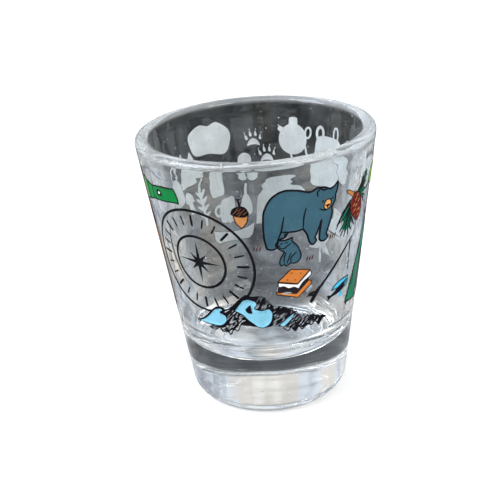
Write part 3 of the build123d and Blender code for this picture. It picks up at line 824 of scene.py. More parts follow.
def make_smores():
    """A toasted marshmallow and chocolate between two biscuits."""
    top = polygon((-3.4, 0.7), (-0.8, 3.2), (3.1, 2.25), (0.5, -0.35))
    bottom = polygon((-3.6, -1.6), (-3.7, -2.15), (0.6, -3.55), (3.5, -0.95), (3.4, -0.4), (2.8, -0.1),
        (0.3, -2.6))
    marshmallow = outline([(-3.3, 0.5), (0.5, -0.5)], [(3.1, 2.1)], [(3.4, 1.2), (2.7, 0.5)],
        [(1.6, -0.3), (0.7, -1.6)], [(-0.2, -1), (-1.3, -1.1), (-2.2, -0.5), (-3.2, -0.5), (-3.3, 0.5)])
    chocolate = outline([(-3.3, -0.4), (-2.2, -0.5), (-1.3, -1.1), (-0.2, -1), (0.7, -1.6)],
        [(1.6, -0.3), (2.9, 0.6)], [(2.9, -0.2)], [(0.3, -2.6)], [(-3.5, -1.6)], [(-3.3, -0.4)])
    lines = edge_lines([top, marshmallow, bottom], 0.17)
    lines += [ellipse(spot, 0.16, 0.11, 15, 10) for spot in ((-0.7, 2.3), (1.1, 1.9), (-1.5, 0.9),
        (0, 0.6))]
    picture("smores", (16, 32.5), [top, marshmallow, chocolate, bottom], [("biscuit", [top, bottom]),
        ("chocolate", [chocolate]), ("white", [marshmallow])], lines, trap=0.05)


def make_acorn():
    """An acorn with a dark hatched cup."""
    nut = outline([(-1.35, 0.1), (0.2, -0.2), (1.5, 0.2)], [(1.1, -1.4), (0.1, -2.7)],
        [(-0.9, -1.6), (-1.35, 0.1)])
    cup = outline([(-1.8, 0.2), (-1.5, 1.2), (-0.7, 1.8), (0.3, 1.95), (1.2, 1.5), (1.7, 0.3)],
        [(0.9, -0.3), (0, -0.35), (-0.9, -0.2), (-1.8, 0.2)])
    marks = [stroke([(x - 0.35, y - 0.32), (x + 0.35, y + 0.32)], 0.09, 0.4, 0.4)
        for x, y in ((-1.1, 0.5), (-0.7, 0.9), (-0.3, 0.5), (0, 1.2), (0.3, 0.7), (0.7, 1.1),
        (0.8, 0.4), (-0.4, 1.4), (1.2, 0.7), (-0.1, 0.1))]
    stem = [stroke([(0, 1.7), (0, 2.6), (-0.2, 3.4)], 0.42, 1, 0.9), stroke([(-0.5, 3.3), (0.2, 3.4)],
        0.2), stroke([(0.1, 2.4), (0.5, 2.9)], 0.16)]
    place = (-9, 48)
    enamel("acorn_base", paint([nut, cup, stem[0]]), place, "base", "white", ["acorn_white_base"])
    enamel("acorn_nut", paint([nut, cup]), place, "colour", "nut", ["acorn_colours"])
    enamel("acorn_lines", paint([cup] + stem + edge_lines([nut], 0.2), without=marks), place, "key",
        "black")


def make_torch():
    """A hand torch that lies on its side, with a brass lens ring and a round switch."""
    body = outline([(-6.6, 2.3), (-4.9, 1.5), (-2.8, 1.1)], [(1, 1.7), (4.4, 2)], [(4.9, 0.6), (5, -1)],
        [(4, -0.9), (1, -1.3), (-2.8, -1.7)], [(-4.9, -2.3), (-6.8, -2.7)], [(-7, 0), (-6.6, 2.3)])
    ring = outline([(-6.6, 2.3), (-6, 2.1)], [(-6.3, 0), (-6.1, -2.5)], [(-6.8, -2.7)],
        [(-7, 0), (-6.6, 2.3)])
    switch = ellipse((-0.5, 0.15), 0.75, 0.55, 8)
    button = ellipse((-0.5, 0.15), 0.36, 0.28, 8)
    lines = edge_lines([body], 0.26) + pen_lines([[(-2.8, 1), (-2.9, -0.3), (-2.8, -1.6)],
        [(-5, 1.5), (-5.2, -0.2), (-5, -2.2)]], 0.2)
    lines += edge_lines([switch], 0.3)
    picture("flashlight", (-52.5, 50), [body], [("green", [body]), ("leaf", [ring]),
        ("chocolate", [switch]), ("white", [button])], lines, trap=0.1)


BADGE_PLACE = (-34.4, 36.9)
MOUNTAIN_PLACE = (-6, 25)


def mountain_shapes():
    """The range's outline, and its snow fields."""
    range_edge = outline([(-13.2, -2.6), (-11.8, -1.9), (-10.2, -0.5), (-8.6, 1.4), (-7.3, 2.2)],
        [(-6.4, 1.9), (-5.8, 1.7)], [(-4.2, 2.8), (-3.2, 4), (-1.6, 5.6)],
        [(-0.4, 5.2), (1, 5.3), (2.4, 4.6), (3.4, 3)], [(4.6, 2.7), (6.4, 1.9), (8, 0.4), (9.6, -0.7),
        (12, -1.4), (14.7, -2.6)], [(13.9, -3), (13, -4), (12.2, -3), (10.9, -3.1), (9.6, -3.7)],
        [(8.5, -3.4), (7.4, -3.8), (6.6, -3), (5.3, -2.5)], [(3.2, -2.1), (1.4, -2.3), (-1.2, -1.9),
        (-3.4, -1.8)], [(-4.4, -3.1), (-5.2, -3.2), (-6, -3.9), (-7.8, -3.6)],
        [(-9, -3.9), (-10.1, -3.6), (-9.6, -2.8), (-13.2, -2.6)])
    left = outline([(-12.9, -2.6), (-10.6, -0.9), (-8.7, 1.2), (-7.2, 1.9)],
        [(-6.6, 1.5), (-7.3, 0.9), (-6.1, 0.2), (-5.9, -0.9)], [(-6.5, -1.8), (-7.6, -2.5),
        (-9.6, -2.6), (-12.9, -2.6)])
    main = outline([(-4.1, 1.7), (-3.3, 2.9), (-2.3, 4.3)], [(-1.2, 4.6), (0.2, 4.1)],
        [(0.4, 3.3), (-0.1, 2.4), (1.3, 1.9), (2.7, 2.2), (3.4, 1.2)], [(3.1, -0.6), (2.4, -1.7),
        (1.4, -2.3)], [(0.4, -2.1), (-0.6, -1.2), (-1.5, -0.4)], [(-2.6, 0.9), (-4.1, 1.7)])
    rock = outline([(-1.9, 2.2), (-0.9, 3.2), (-0.7, 2.2)], [(-0.6, 1.3), (-1.2, 1.2)],
        [(-1.7, 1.6), (-1.9, 2.2)])
    streak = outline([(4.6, -2), (6.2, -0.6), (7.6, 0.4)], [(7, -0.7), (5.9, -1.9)],
        [(5.3, -2.3), (4.6, -2)])
    return (range_edge, left, main, rock, streak)


def slivers(count, low, high, slant, seed):
    """Thin lens-shaped gaps between hatching strokes, scattered in a box.

    Each is a pen line about 1 mm long and 0.15 mm wide, at the slant in degrees, give or take.
    """
    dice = np.random.RandomState(seed)
    middle = dice.uniform(low, high, (count, 2))
    length = dice.uniform(0.5, 1.6, (count, 1))
    turn = np.radians(slant + dice.uniform(-9, 9, count))
    reach = length / 2 * np.stack([np.cos(turn), np.sin(turn)], 1)
    bow = dice.uniform(-0.06, 0.06, (count, 1)) * np.stack([-np.sin(turn), np.cos(turn)], 1)
    width = dice.uniform(0.10, 0.2, count)
    return [stroke([m - r, m + b, m + r], w, 0.2, 0.2)
            for m, r, b, w in zip(middle, reach, bow, width)]


def make_mountains():
    """A snowy range, drawn with a dense black scribble round pale blue snow."""
    edge, left, main, rock, streak = mountain_shapes()
    gaps = slivers(60, (-6.4, -3.6), (-1.6, 1.8), 48, 3) + slivers(48, (0.2, 2.2), (4.6, 5), 58,
        5) + slivers(150, (3.4, -3.3), (14.4, 2.4), 40, 8) + slivers(20, (-9.6, -3.7), (-6.4, -2.7), 30,
        2)
    snow = [left, main, streak]
    scribble = pen_lines([[(-10.1, -3.4), (-9, -2.9), (-8.4, -3.5), (-7.6, -2.9), (-7, -3.9),
        (-6, -3.3), (-5.4, -4.3), (-4.6, -2.9), (-3.8, -3.2), (-3.2, -1.9)],
        [(5.2, -2.7), (6.2, -3.6), (6.9, -2.7), (7.6, -4), (8.4, -2.9), (9.1, -3.9), (10.2, -2.8),
        (11.2, -3.5), (12, -2.8), (12.9, -4.1), (13.4, -2.9)], [(6.4, 1.7), (7.2, 1.6), (7.3, 0.9),
        (8.2, 0.7)], [(9.4, -0.4), (10.2, -0.5), (10.6, -1.1), (11.6, -1), (12.2, -1.6), (13.2, -1.5)],
        [(12.4, -2.2), (13.6, -2), (14.9, -2.7)]], 0.28)
    ridge = pen_lines([[(-13.3, -2.6), (-11.8, -1.9), (-10.2, -0.5), (-8.6, 1.4), (-7.3, 2.2),
        (-6.4, 1.9)], [(-5.8, 1.6), (-4.2, 2.8), (-3.2, 4), (-1.6, 5.6)]], 0.42)
    enamel("mountains_base", paint(snow), MOUNTAIN_PLACE, "base", "white", ["mountains_white_base"])
    enamel("mountains_sky", paint(snow), MOUNTAIN_PLACE, "colour", "sky", ["mountains_colours"])
    enamel("mountains_scribble", paint([edge], without=snow + gaps), MOUNTAIN_PLACE, "base", "black")
    lines = paint(scribble + ridge + [rock] + edge_lines(snow[:2], 0.16))
    enamel("mountains_lines", lines, MOUNTAIN_PLACE, "ridge", "black")


def make_badge():
    """A plain compass dial: two rings, ticks between them and an eight-pointed star.

    A tick or a star's arm is one shape turned about the centre in equal steps. The mountains
    stand in front, and are cut out of it.
    """
    turns = np.radians(np.arange(24) * 15)
    shapes = edge_lines([ellipse((0, 0), 11.3, 11.3, count=120), ellipse((0, 0), 5.7, 5.7, count=72)],
        0.52)
    shapes += [stroke([8.2 * np.array([math.cos(t), math.sin(t)]),
        (9.9 if i % 3 else 10.2) * np.array([math.cos(t), math.sin(t)])], 0.5 if i % 3 == 0 else 0.34)
        for i, t in enumerate(turns)]
    for arm in range(8):
        middle = math.radians(45 * arm)
        reach = 4.7 if arm % 2 == 0 else 2.7
        corner = [(reach, middle), (0.95, middle + math.pi / 8), (0.95, middle - math.pi / 8)]
        shapes.append(polygon((0, 0), *[(r * math.cos(t), r * math.sin(t))
            for r, t in (corner[2], corner[0], corner[1])]))
    radius = 1 / (bpy.context.scene.shot_glass.foot_radius / MM + wall_slope() * 30)
    lean = math.cos(math.atan(wall_slope()))
    shift = np.array([math.radians(MOUNTAIN_PLACE[0] - BADGE_PLACE[0]) / radius,
        (MOUNTAIN_PLACE[1] - BADGE_PLACE[1]) / lean])
    mask = mountain_shapes()[0] + shift
    enamel("badge_dial", paint(shapes, without=[mask]), BADGE_PLACE, "base", "black", ["compass_badge"])


def make_pine_cone():
    """A cone on a twig between fans of needles."""
    cone = blob((0, 2.7), (1.5, 2.4), (2.9, 0.5), (3.3, -1.9), (2.2, -3.8), (1, -3.2), (-0.8, -1.2),
        (-1.3, 1))
    twig = polygon((-0.6, 2.1), (-2.7, 3.5), (-2.9, 4.1), (-2.3, 4.1), (-0.3, 3))
    upper = outline([(0.4, 2.4), (1.5, 3.6), (3.4, 5.2), (4.8, 6.2)], [(4.3, 4.6), (4.7, 3.6)],
        [(3.8, 2.9), (4.9, 1.9), (3.6, 1.2), (4.6, 0.2), (2.6, 0.9)], [(1.6, 2.2), (0.4, 2.4)])
    lower = outline([(-1, 2), (-2, 0.9), (-3.1, -0.6), (-3.7, -1.8)], [(-3, -2.6), (-4, -4.2),
        (-2.7, -3.9), (-2.3, -5.6)], [(-1.5, -4.3), (-0.2, -5), (-0.6, -3.6), (0.4, -3.2)],
        [(-0.6, -1.4), (-1.2, 0.4), (-1, 2)])
    needles = pen_lines([[(1.2, 2.8), (2.6, 4.2), (4.7, 6.1)], [(1.6, 2.6), (3.2, 4.4), (4.2, 6.3)],
        [(1.4, 2.4), (3, 3.6), (5, 4.8)], [(1.8, 2.2), (3.4, 3), (4.9, 3.6)],
        [(2.4, 2.6), (3.8, 3.9), (5, 5.6)], [(2.2, 1.8), (3.6, 2.2), (5.1, 2)],
        [(2.4, 1.4), (3.6, 1.2), (4.9, 0.4)], [(2.7, 1), (3.7, 0.4), (4.4, -0.8)],
        [(2, 3), (2.4, 4.4), (3.4, 6)], [(-1.4, 1.6), (-3.2, -0.2), (-4.8, -2.6)],
        [(-1.5, 1), (-3.6, -1), (-4.9, -3.4)], [(-1.2, 0.4), (-2.4, -2), (-3.9, -4.4)],
        [(-1.2, -0.4), (-2.2, -2.8), (-3.4, -5.4)], [(-1, -1), (-1.9, -3.2), (-2.4, -5.9)],
        [(-0.8, -1.6), (-1.4, -3.8), (-1.2, -5.8)], [(-0.6, -2.2), (-0.8, -4), (0.1, -5.2)],
        [(-0.4, -2.4), (0.2, -3.6), (1, -4.4)], [(-1.4, 0.6), (-2.6, -1.4), (-4.3, -2.4)]], 0.32, 1,
        0.25)
    scales = pen_lines([[(x - 1, y - 0.5), (x, y + 0.1), (x + 0.7, y + 0.7)]
        for x, y in ((0.3, 1.7), (1.2, 1.6), (0, 0.7), (1.4, 0.6), (2.2, 0), (0.2, -0.3), (1.2, -0.7),
        (2.5, -1), (1, -1.7), (2.2, -2), (1.8, -2.9))], 0.2, 0.5, 0.4)
    picture("pine_cone", (52, 45), [cone, twig, upper, lower], [("pine", [upper, lower]),
        ("nut", [twig]), ("cone", [cone])], needles + edge_lines([cone, twig], 0.14) + scales,
        trap=0.02)
    glints = [stroke([(x - 0.3, y - 0.22), (x + 0.35, y + 0.25)], 0.13, 0.4, 0.4)
        for x, y in ((0.6, 1.2), (0.1, 0.1), (1.8, 0.5), (1, -0.3), (1.7, -1.4), (2.5, -1.6),
        (0.5, -1.1), (2, -2.6), (1.1, 1.9))]
    enamel("pine_cone_glints", paint(glints), (52, 45), "ridge", "tan")


def make_fish():
    """A small fish that leaps: dark back, cyan fins."""
    body = outline([(3, 1.9), (1.2, 1.5), (-0.8, 0.6), (-2, -0.1)], [(-3.3, 0.2)],
        [(-2.9, -0.4), (-2.9, -1.2)], [(-1.7, -0.6)], [(0, -0.5), (1.6, 0), (2.8, 1), (3, 1.9)])
    back = outline([(-1.9, 0.9), (-0.9, 1.9), (0.8, 2.4), (2.4, 2.4)], [(3.3, 2.2), (3.1, 0.9),
        (2.2, 0.1)], [(1, 1), (-0.2, 0.9), (-1.9, 0.9)])
    fin = outline([(0.5, -0.5), (1.4, -0.3)], [(1.5, -1.3), (0.9, -1.8)], [(0.4, -1.2), (0.5, -0.5)])
    flecks = [stroke([(1.5, 1.6), (2.3, 1.9)], 0.3), stroke([(2.2, 0.8), (2.7, 1.4)], 0.3)]
    picture("fish", (45, 27), [body, back, fin], [("cyan", [body, back, fin])], [], trap=0.02)
    enamel("fish_lines", paint([body, *edge_lines([back], 0.2)], without=flecks), (45, 27), "key",
        "black")


def make_fishing_rod():
    """A rod with a reel, and a dashed line from its tip."""
    rod = [stroke([(5.1, 6.2), (1.7, 3), (-2.8, -1.7), (-3.9, -2.9)], 0.58, 0.5, 1.1),
        stroke([(-3.7, -2.6), (-5, -4.8)], 0.9), stroke([(-4.3, -2.9), (-5.3, -2.9), (-6.1, -3.6)],
        0.42, 1, 0.5), stroke([(-4.6, -3.4), (-5.4, -3.4)], 0.5), stroke([(-2.6, -1.9), (-3.6, -2)],
        0.3)]
    enamel("fishing_rod_lines", paint(rod), (40, 32), "base", "black", ["fishing_rod"])
    line = [stroke([(4.75, top), (4.65, low)], 0.32) for top, low in ((5.4, 4.6), (4.3, 3.2),
        (2.7, 1.6), (1, 0.2), (-0.3, -1))]
    enamel("fishing_line_lines", paint(line), (40, 32), "base", "black", ["fishing_line"])


def make_tepee():
    """A tall green tent with its poles crossed at the top and its door folded back."""
    cloth = outline([(-6, -9.2), (-4.4, -4), (-2.6, 1), (0, 8.2)], [(0.6, 8.2)],
        [(3.6, 0.6), (6.4, -9.4)], [(0.4, -10.2), (-6, -9.2)])
    door = outline([(0.6, 2.2), (-0.6, -4), (-1.4, -9.6)], [(2.8, -9.8)], [(2, -4), (0.6, 2.2)])
    flap = outline([(0.6, 2.2), (2, -4), (2.8, -9.8)], [(4, -9)], [(3.4, -4), (0.6, 2.2)])
    poles = pen_lines([[(-0.4, 9.4), (0.3, 8)], [(1, 9.4), (0.3, 8)]], 0.4)
    lines = edge_lines([cloth], 0.36) + edge_lines([door, flap], 0.2) + poles + pen_lines([[(-3.6, -3),
        (-3.9, -6)], [(-1.6, 2.4), (-2, 0)], [(4.4, -4.6), (4.8, -7.4)], [(-5, -9), (-5.6, -9.9)],
        [(5.6, -9.4), (6.2, -10.2)]], 0.22)
    picture("tepee_tent", (71, 32), [cloth], [("pine", [cloth]), ("chocolate", [door]),
        ("nut", [flap])], lines, trap=0.1)


def make_broad_leaf():
    """A broad leaf with a midrib and veins."""
    leaf = outline([(-3.4, -1.4), (-2.8, 1.6), (0.2, 2.6), (3.8, 2.2)], [(3.4, -0.8), (1.2, -2.6),
        (-3.4, -1.4)])
    lines = edge_lines([leaf], 0.24) + pen_lines([[(-4.3, -2.2), (-1.6, -0.6), (3.4, 2)],
        [(-1.8, -0.7), (-1.2, 1.4)], [(-0.2, 0.2), (0.6, 1.9)], [(-0.9, -0.3), (0.8, -1.7)],
        [(1, 0.8), (2.5, -0.4)]], 0.2)
    picture("broad_leaf", (76, 49), [leaf], [("leaf", [leaf])], lines)


# Pictures at the sides and behind, whose faces are free designs on the same plan

def make_walking_stick():
    """A long hiking stick with a wrapped grip."""
    stick = outline([(-0.5, 12.4), (0.5, 12.6)], [(0.6, 4), (0.3, -12.4)], [(-0.2, -12.4)],
        [(-0.2, 4), (-0.5, 12.4)])
    grip = polygon((-0.5, 10.6), (0.55, 10.6), (0.6, 6.6), (-0.35, 6.6))
    wraps = pen_lines([[(-0.5, y), (0.6, y + 0.5)] for y in (7, 7.9, 8.8, 9.7)], 0.18)
    picture("walking_stick", (-71, 34.5), [stick], [("nut", [stick]), ("cone", [grip])],
        edge_lines([stick], 0.16) + wraps, trap=0.05)


def make_bedroll():
    """A rolled blanket with two straps."""
    roll = blob((-5.4, -0.6), (-5.1, 1.6), (-2.6, 3.5), (-0.3, 3), (2.1, 3.5), (5.2, 2), (5.3, -0.3),
        (4, -2.8), (0.2, -3), (-3.7, -3.6))
    straps = [stroke([(-2.6, 3.4), (-2.2, 0.4), (-2.7, -3.3)], 0.8), stroke([(2, 3.3), (2.4, 0),
        (2, -2.9)], 0.8)]
    lines = edge_lines([roll], 0.3) + edge_lines(straps, 0.14) + pen_lines([[(3.8, 0.9), (4.4, 0.2),
        (4.1, -0.8), (3.5, -0.4), (3.7, 0.3)], [(-4.4, 1), (-3.6, 0.7)], [(-1.2, 1.6), (0.8, 1.4)],
        [(-1, -1.2), (0.9, -1.4)]], 0.2)
    picture("bedroll", (-151.2, 49.4), [roll], [("orange", [roll]), ("cone", straps)], lines)


def make_canteen():
    """A round water bottle with a screw cap and a strap."""
    body = ellipse((0, 0), 3.5, 3.5, count=60)
    disc = ellipse((0, 0), 2.5, 2.5, count=48)
    cap = outline([(-1.1, 3.2), (-1, 4.9)], [(0, 5.1), (1, 4.9)], [(1.1, 3.2)], [(-1.1, 3.2)])
    lug = polygon((2.2, 2.4), (3.4, 3), (3.9, 2.3), (3, 1.4))
    loop = stroke(ellipse((-3.9, 1.7), 0.75, 1.25, 12, 24), 0.4, closed=True, smooth=False)
    strap = stroke([(-3.2, -1.6), (-3.5, -3), (-4.3, -4.6)], 0.42, 1, 0.8)
    tail = stroke([(0.6, -3.2), (0.2, -4.6)], 0.4, 1, 0.8)
    lines = edge_lines([body, cap], 0.26) + edge_lines([disc], 0.16) + pen_lines([[(x, 3.5), (x, 4.7)]
        for x in (-0.5, 0, 0.5)], 0.14)
    picture("canteen", (157.2, 48), [body, cap, lug, loop, strap, tail], [("nut",
        [loop, strap, tail, lug]), ("leaf", [body]), ("pine", [disc]), ("tan", [cap])], lines,
        trap=0.04)


def make_backpack():
    """A rucksack with two loops, a flap and a pocket."""
    body = blob((-4.2, -5), (-4.4, 1), (-3.4, 4.2), (0, 4.8), (3.4, 4.3), (4.2, 1), (4.1, -5),
        (0, -6.1))
    loops = [stroke(ellipse((2.9, 5.2), 0.95, 1.5, 0, 26), 0.6, closed=True, smooth=False),
        stroke(ellipse((-2, 5.6), 0.75, 1.6, 0, 26), 0.4, closed=True, smooth=False)]
    flap = outline([(-4.2, 2), (-3.2, 4.2), (0, 4.8), (3.2, 4.2), (4.1, 1.8)],
        [(3.6, -0.1), (0, -0.7), (-3.6, 0), (-4.2, 2)])
    pocket = blob((-2.4, -1.9), (2.4, -1.9), (2.6, -4.7), (0, -5.4), (-2.6, -4.7))
    buckles = [ellipse((x, -0.4), 0.35, 0.5, count=12) for x in (-1.6, 1.6)]
    lines = edge_lines([body], 0.28) + edge_lines([flap, pocket], 0.2) + edge_lines(loops, 0.12)
    picture("backpack", (132, 44.8), [body, *loops], [("nut", loops), ("cone", [body]),
        ("orange", [flap, pocket]), ("tan", buckles)], lines, trap=0.04)


def make_campfire():
    """Flames over two crossed logs."""
    flame = outline([(-2.8, -2.1), (-3, 0.6), (-1.8, 3.4)], [(-1.1, 2.2), (-0.4, 1.9)],
        [(0.7, 2.6), (1.1, 3.7)], [(2.7, 1.6), (3, -0.4), (2.6, -2.1)], [(-2.8, -2.1)])
    heart = outline([(-1.5, -1.9), (-1.6, 0), (-0.9, 1.3)], [(-0.2, 0.4)], [(0.7, 1.6)],
        [(1.5, 0.1), (1.3, -1.9)], [(-1.5, -1.9)])
    logs = [stroke([(-3, -3.1), (3, -2.1)], 0.9), stroke([(-3, -2.1), (3, -3.1)], 0.9)]
    lines = edge_lines([flame], 0.24) + edge_lines(logs, 0.18) + pen_lines([[(-1.8, -2.9),
        (-0.5, -2.7)], [(0.7, -2.6), (2.1, -2.9)]], 0.14)
    picture("campfire", (-132, 44.5), [flame, *logs], [("orange", [flame]), ("tan", [heart]),
        ("nut", logs)], lines, trap=0.08)


def make_fern():
    """A young fern with four pairs of leaflets."""
    stem = stroke([(0, -5), (0.1, 0), (0, 4.6)], 0.85, 0.8, 0.5)
    leaflets = [stroke([(0, up - 0.7), (side * 0.6 * length, up + 0.1), (side * length, up + 0.5)],
        0.85, 0.9, 0.5) for up, length in ((2.8, 1.1), (1.2, 1.5), (-0.6, 1.8), (-2.6, 1.9))
        for side in (-1, 1)]
    lines = pen_lines([[(0, -4.8), (0.1, 0), (0, 4.3)]], 0.16)
    picture("fern", (-138.5, 36), [stem, *leaflets], [("pine", [stem, *leaflets])], lines
        + edge_lines([stem, *leaflets], 0.1), trap=0.03)


def make_mug():
    """An enamel mug with a dark rim."""
    cup = blob((-1.8, 2.4), (0, 2.85), (1.8, 2.4), (1.9, -2.2), (0, -2.8), (-1.9, -2.2))
    mouth = ellipse((0, 2.25), 1.7, 0.5, count=30)
    handle = stroke(ellipse((2.5, 0.3), 0.92, 1.32, 0, 26), 0.5, closed=True, smooth=False)
    specks = [ellipse(at, 0.11, 0.11, count=8) for at in ((-1.1, 0.7), (-0.3, -0.4), (1, 0.5),
        (0.5, -1.6), (-0.9, -1.5), (1.2, -0.9), (0.2, 1))]
    picture("enamel_mug", (-157.2, 33), [cup, handle], [("sky", [cup, handle]), ("white", [mouth])],
        edge_lines([cup], 0.24) + edge_lines([mouth], 0.18) + specks, trap=0.08)


def make_paddle():
    """A short canoe paddle with a banded blade."""
    blade = blob((0, -4), (1.2, -3.2), (1.25, -1.2), (0.5, 0.8), (0, 1.2), (-0.5, 0.8), (-1.25, -1.2),
        (-1.2, -3.2))
    shaft = stroke([(0, -0.5), (0, 3.5)], 0.6)
    band = polygon((-1.3, -1.4), (1.3, -1.4), (1.3, -2.2), (-1.3, -2.2))
    whole = [blade, shaft]
    lines = edge_lines([blade], 0.18) + edge_lines([shaft], 0.1)
    picture("paddle", (-170.5, 34.8), whole, [("biscuit", whole), ("cone", [band])], lines, trap=0.06)


def make_canoe():
    """A canoe with two thwarts and a pale stripe along its side."""
    hull = outline([(-5.7, 1.7), (-5.2, -0.6), (-4.2, -1.6)], [(0, -1.8), (4.2, -1.6)],
        [(5.2, -0.6), (5.7, 1.5)], [(3.2, 0.6), (0, 0.4), (-3.2, 0.7), (-5.7, 1.7)])
    stripe = stroke([(-4.9, -0.1), (-2.4, -0.7), (0, -0.8), (2.4, -0.7), (4.9, -0.2)], 0.4)
    lines = edge_lines([hull], 0.22) + pen_lines([[(-2, 0.4), (-1.9, -0.2)], [(2, 0.4), (1.9, -0.2)]],
        0.2)
    picture("canoe", (-159.2, 27.2), [hull], [("cone", [hull]), ("tan", [stripe])], lines, trap=0.06)


def make_flask():
    """A flask with a screw cap."""
    body = blob((-1.6, -2.8), (-1.65, 1.6), (-0.9, 2.6), (0.9, 2.6), (1.65, 1.6), (1.6, -2.8),
        (0, -3.4))
    cap = polygon((-0.8, 2.2), (-0.8, 3.6), (0.8, 3.6), (0.8, 2.2))
    band = polygon((-1.8, 0.4), (1.8, 0.4), (1.8, -0.6), (-1.8, -0.6))
    lines = edge_lines([body, cap], 0.2) + pen_lines([[(x, 2.6), (x, 3.4)] for x in (-0.3, 0.3)], 0.12)
    picture("flask", (-150.3, 40.3), [body, cap], [("green", [body]), ("tan", [band]),
        ("chocolate", [cap])], lines, trap=0.06)


def make_kettle():
    """A camp kettle with a spout and a bail."""
    body = blob((-3.6, -2.8), (-3.7, 0.2), (-3.2, 2.4), (-1.4, 3.3), (0.8, 2.9), (1.9, 1.2),
        (2.2, -2.6), (-0.6, -3.4))
    spout = polygon((1.6, 1.4), (3.9, 2.3), (3.9, 1.5), (2.1, -0.8))
    bail = stroke(ellipse((-0.8, 3.4), 1.57, 1.85, 0, 30), 0.45, closed=True, smooth=False)
    specks = [ellipse(at, 0.12, 0.12, count=8) for at in ((-2.6, 1.2), (-1.4, -0.2), (0.3, 1.4),
        (0.9, -1.2), (-2.4, -1.9), (-0.6, -2.2), (-0.7, 2.2))]
    lines = edge_lines([body, spout], 0.24) + specks + pen_lines([[(-2.6, 2.5), (-0.9, 2.9),
        (0.9, 2.4)]], 0.18)
    picture("kettle", (-113, 41.2), [body, spout, bail], [("chocolate", [bail]),
        ("sky", [body, spout])], lines, trap=0.06)


def make_dome_tent():
    """A round tent with an open door."""
    cloth = outline([(-8, -5.4), (-7.9, -3.4), (-6.7, 0.7), (-4, 4.2), (-1.2, 5.3), (1.9, 5.2),
        (4.5, 4.5), (6.5, 2.9), (8, -0.4), (8.3, -5.4)], [(-8, -5.4)])
    door = outline([(-2.2, -5.2), (-2, -1), (0.4, 2.2)], [(2.8, -1), (3.2, -5.2)], [(-2.2, -5.2)])
    window = ellipse((-4.6, 0.2), 1.1, 1, count=20)
    lines = edge_lines([cloth], 0.3) + edge_lines([door, window], 0.2) + pen_lines([[(-1.2, 5.2),
        (0.4, 2.2)], [(3.2, 4.8), (5.4, 0.6), (5.8, -5.2)], [(-1.2, 5.2), (-2.6, 0.6), (-2.4, -5.2)]],
        0.18)
    picture("dome_tent", (160, 34), [cloth], [("green", [cloth]), ("chocolate", [door]),
        ("tan", [window])], lines)


def make_boot():
    """A laced walking boot."""
    upper = outline([(-3.4, -2.2), (-3.5, 0.4), (-3, 3.2)], [(-1.2, 3.5), (0.6, 3.4)],
        [(0.9, 0.9), (2.6, 0.3), (3.7, -0.8), (3.9, -2.2)], [(-3.4, -2.2)])
    sole = polygon((-3.5, -2.2), (4, -2.2), (4, -3), (-1, -3), (-1.2, -2.7), (-1.6, -3), (-3.4, -3))
    cuff = polygon((-3.1, 2.4), (-3, 3.2), (0.6, 3.4), (0.7, 2.6))
    lines = edge_lines([upper], 0.24) + pen_lines([[(-0.4, y), (0.9, y + 0.4)]
        for y in (-0.2, 0.5, 1.2, 1.9)] + [[(1.4, 0.8), (1.6, -1), (2.6, -2)],
        [(-3.3, 0.2), (-1.4, -0.6), (-1.2, -2.1)]], 0.18)
    picture("hiking_boot", (115.5, 31.8), [upper, sole], [("cone", [upper]), ("tan", [cuff]),
        ("chocolate", [sole])], lines, trap=0.06)


def make_maple_leaf():
    """An autumn leaf: five lobes, each the same diamond turned about the stalk's end."""
    lobes = []
    for lobe in range(5):
        turn = math.radians(90 + (lobe - 2) * 58)
        corners = [(4 if lobe != 2 else 4.3, turn), (2.3, turn + 0.32), (1.7, turn + 0.62)]
        left = [(r * math.cos(t), r * math.sin(t)) for r, t in corners]
        right = [(r * math.cos(2 * turn - t), r * math.sin(2 * turn - t)) for r, t in corners[:0:-1]]
        lobes.append(polygon((0, -0.4), *right, *left))
    stalk = stroke([(0, 0), (0.1, -2.4), (0.3, -4.2)], 0.5)
    veins = pen_lines([[(0, -0.3), (3.1 * math.cos(t), 3.1 * math.sin(t))]
        for t in np.radians(90 + (np.arange(5) - 2) * 58)], 0.18)
    picture("maple_leaf", (131, 25.5), [*lobes, stalk], [("orange", [*lobes, stalk])], veins, trap=0.06)


def make_lantern():
    """A camping lantern with a bail."""
    body = blob((0, 3), (2.2, 1.6), (2.4, -1.6), (1.8, -3.6), (-1.8, -3.6), (-2.4, -1.6), (-2.2, 1.6))
    glow = blob((0, 1.5), (1.5, 0.6), (1.5, -1.4), (0, -2.1), (-1.5, -1.4), (-1.5, 0.6))
    bail = stroke(ellipse((0, 3.6), 1.65, 1.45, 0, 30), 0.42, closed=True, smooth=False)
    lines = edge_lines([body], 0.24) + edge_lines([glow], 0.18) + pen_lines([[(-0.6, 1.2),
        (-0.6, -1.9)], [(0.6, 1.2), (0.6, -1.9)], [(-2, -2.7), (2, -2.7)],
        [(-1.9, 2), (0, 2.3), (1.9, 2)]], 0.16)
    picture("lantern", (113.5, 45), [body, bail], [("chocolate", [bail]), ("green", [body]),
        ("tan", [glow])], lines, trap=0.06)


def make_mushroom():
    """A toadstool with pale spots."""
    cap = outline([(-1.75, 0.4), (-1.4, 1.8), (0, 2.6), (1.4, 1.8), (1.75, 0.4)],
        [(0, 0), (-1.75, 0.4)])
    stem = outline([(-0.8, 0.3), (0.8, 0.3)], [(0.9, -1.2), (1, -2.3)], [(0, -2.5), (-1, -2.3)],
        [(-0.9, -1.2), (-0.8, 0.3)])
    spots = [ellipse(at, size, 0.8 * size, count=16) for at, size in (((-0.8, 1), 0.3),
        ((0.1, 1.8), 0.35), ((0.9, 0.9), 0.28))]
    picture("mushroom", (-127.8, 37.2), [cap, stem], [("tan", [stem]), ("cone", [cap]),
        ("white", spots)], edge_lines([cap, stem], 0.18) + pen_lines([[(-0.3, -0.4), (-0.3, -1.9)]],
        0.12), trap=0.06)


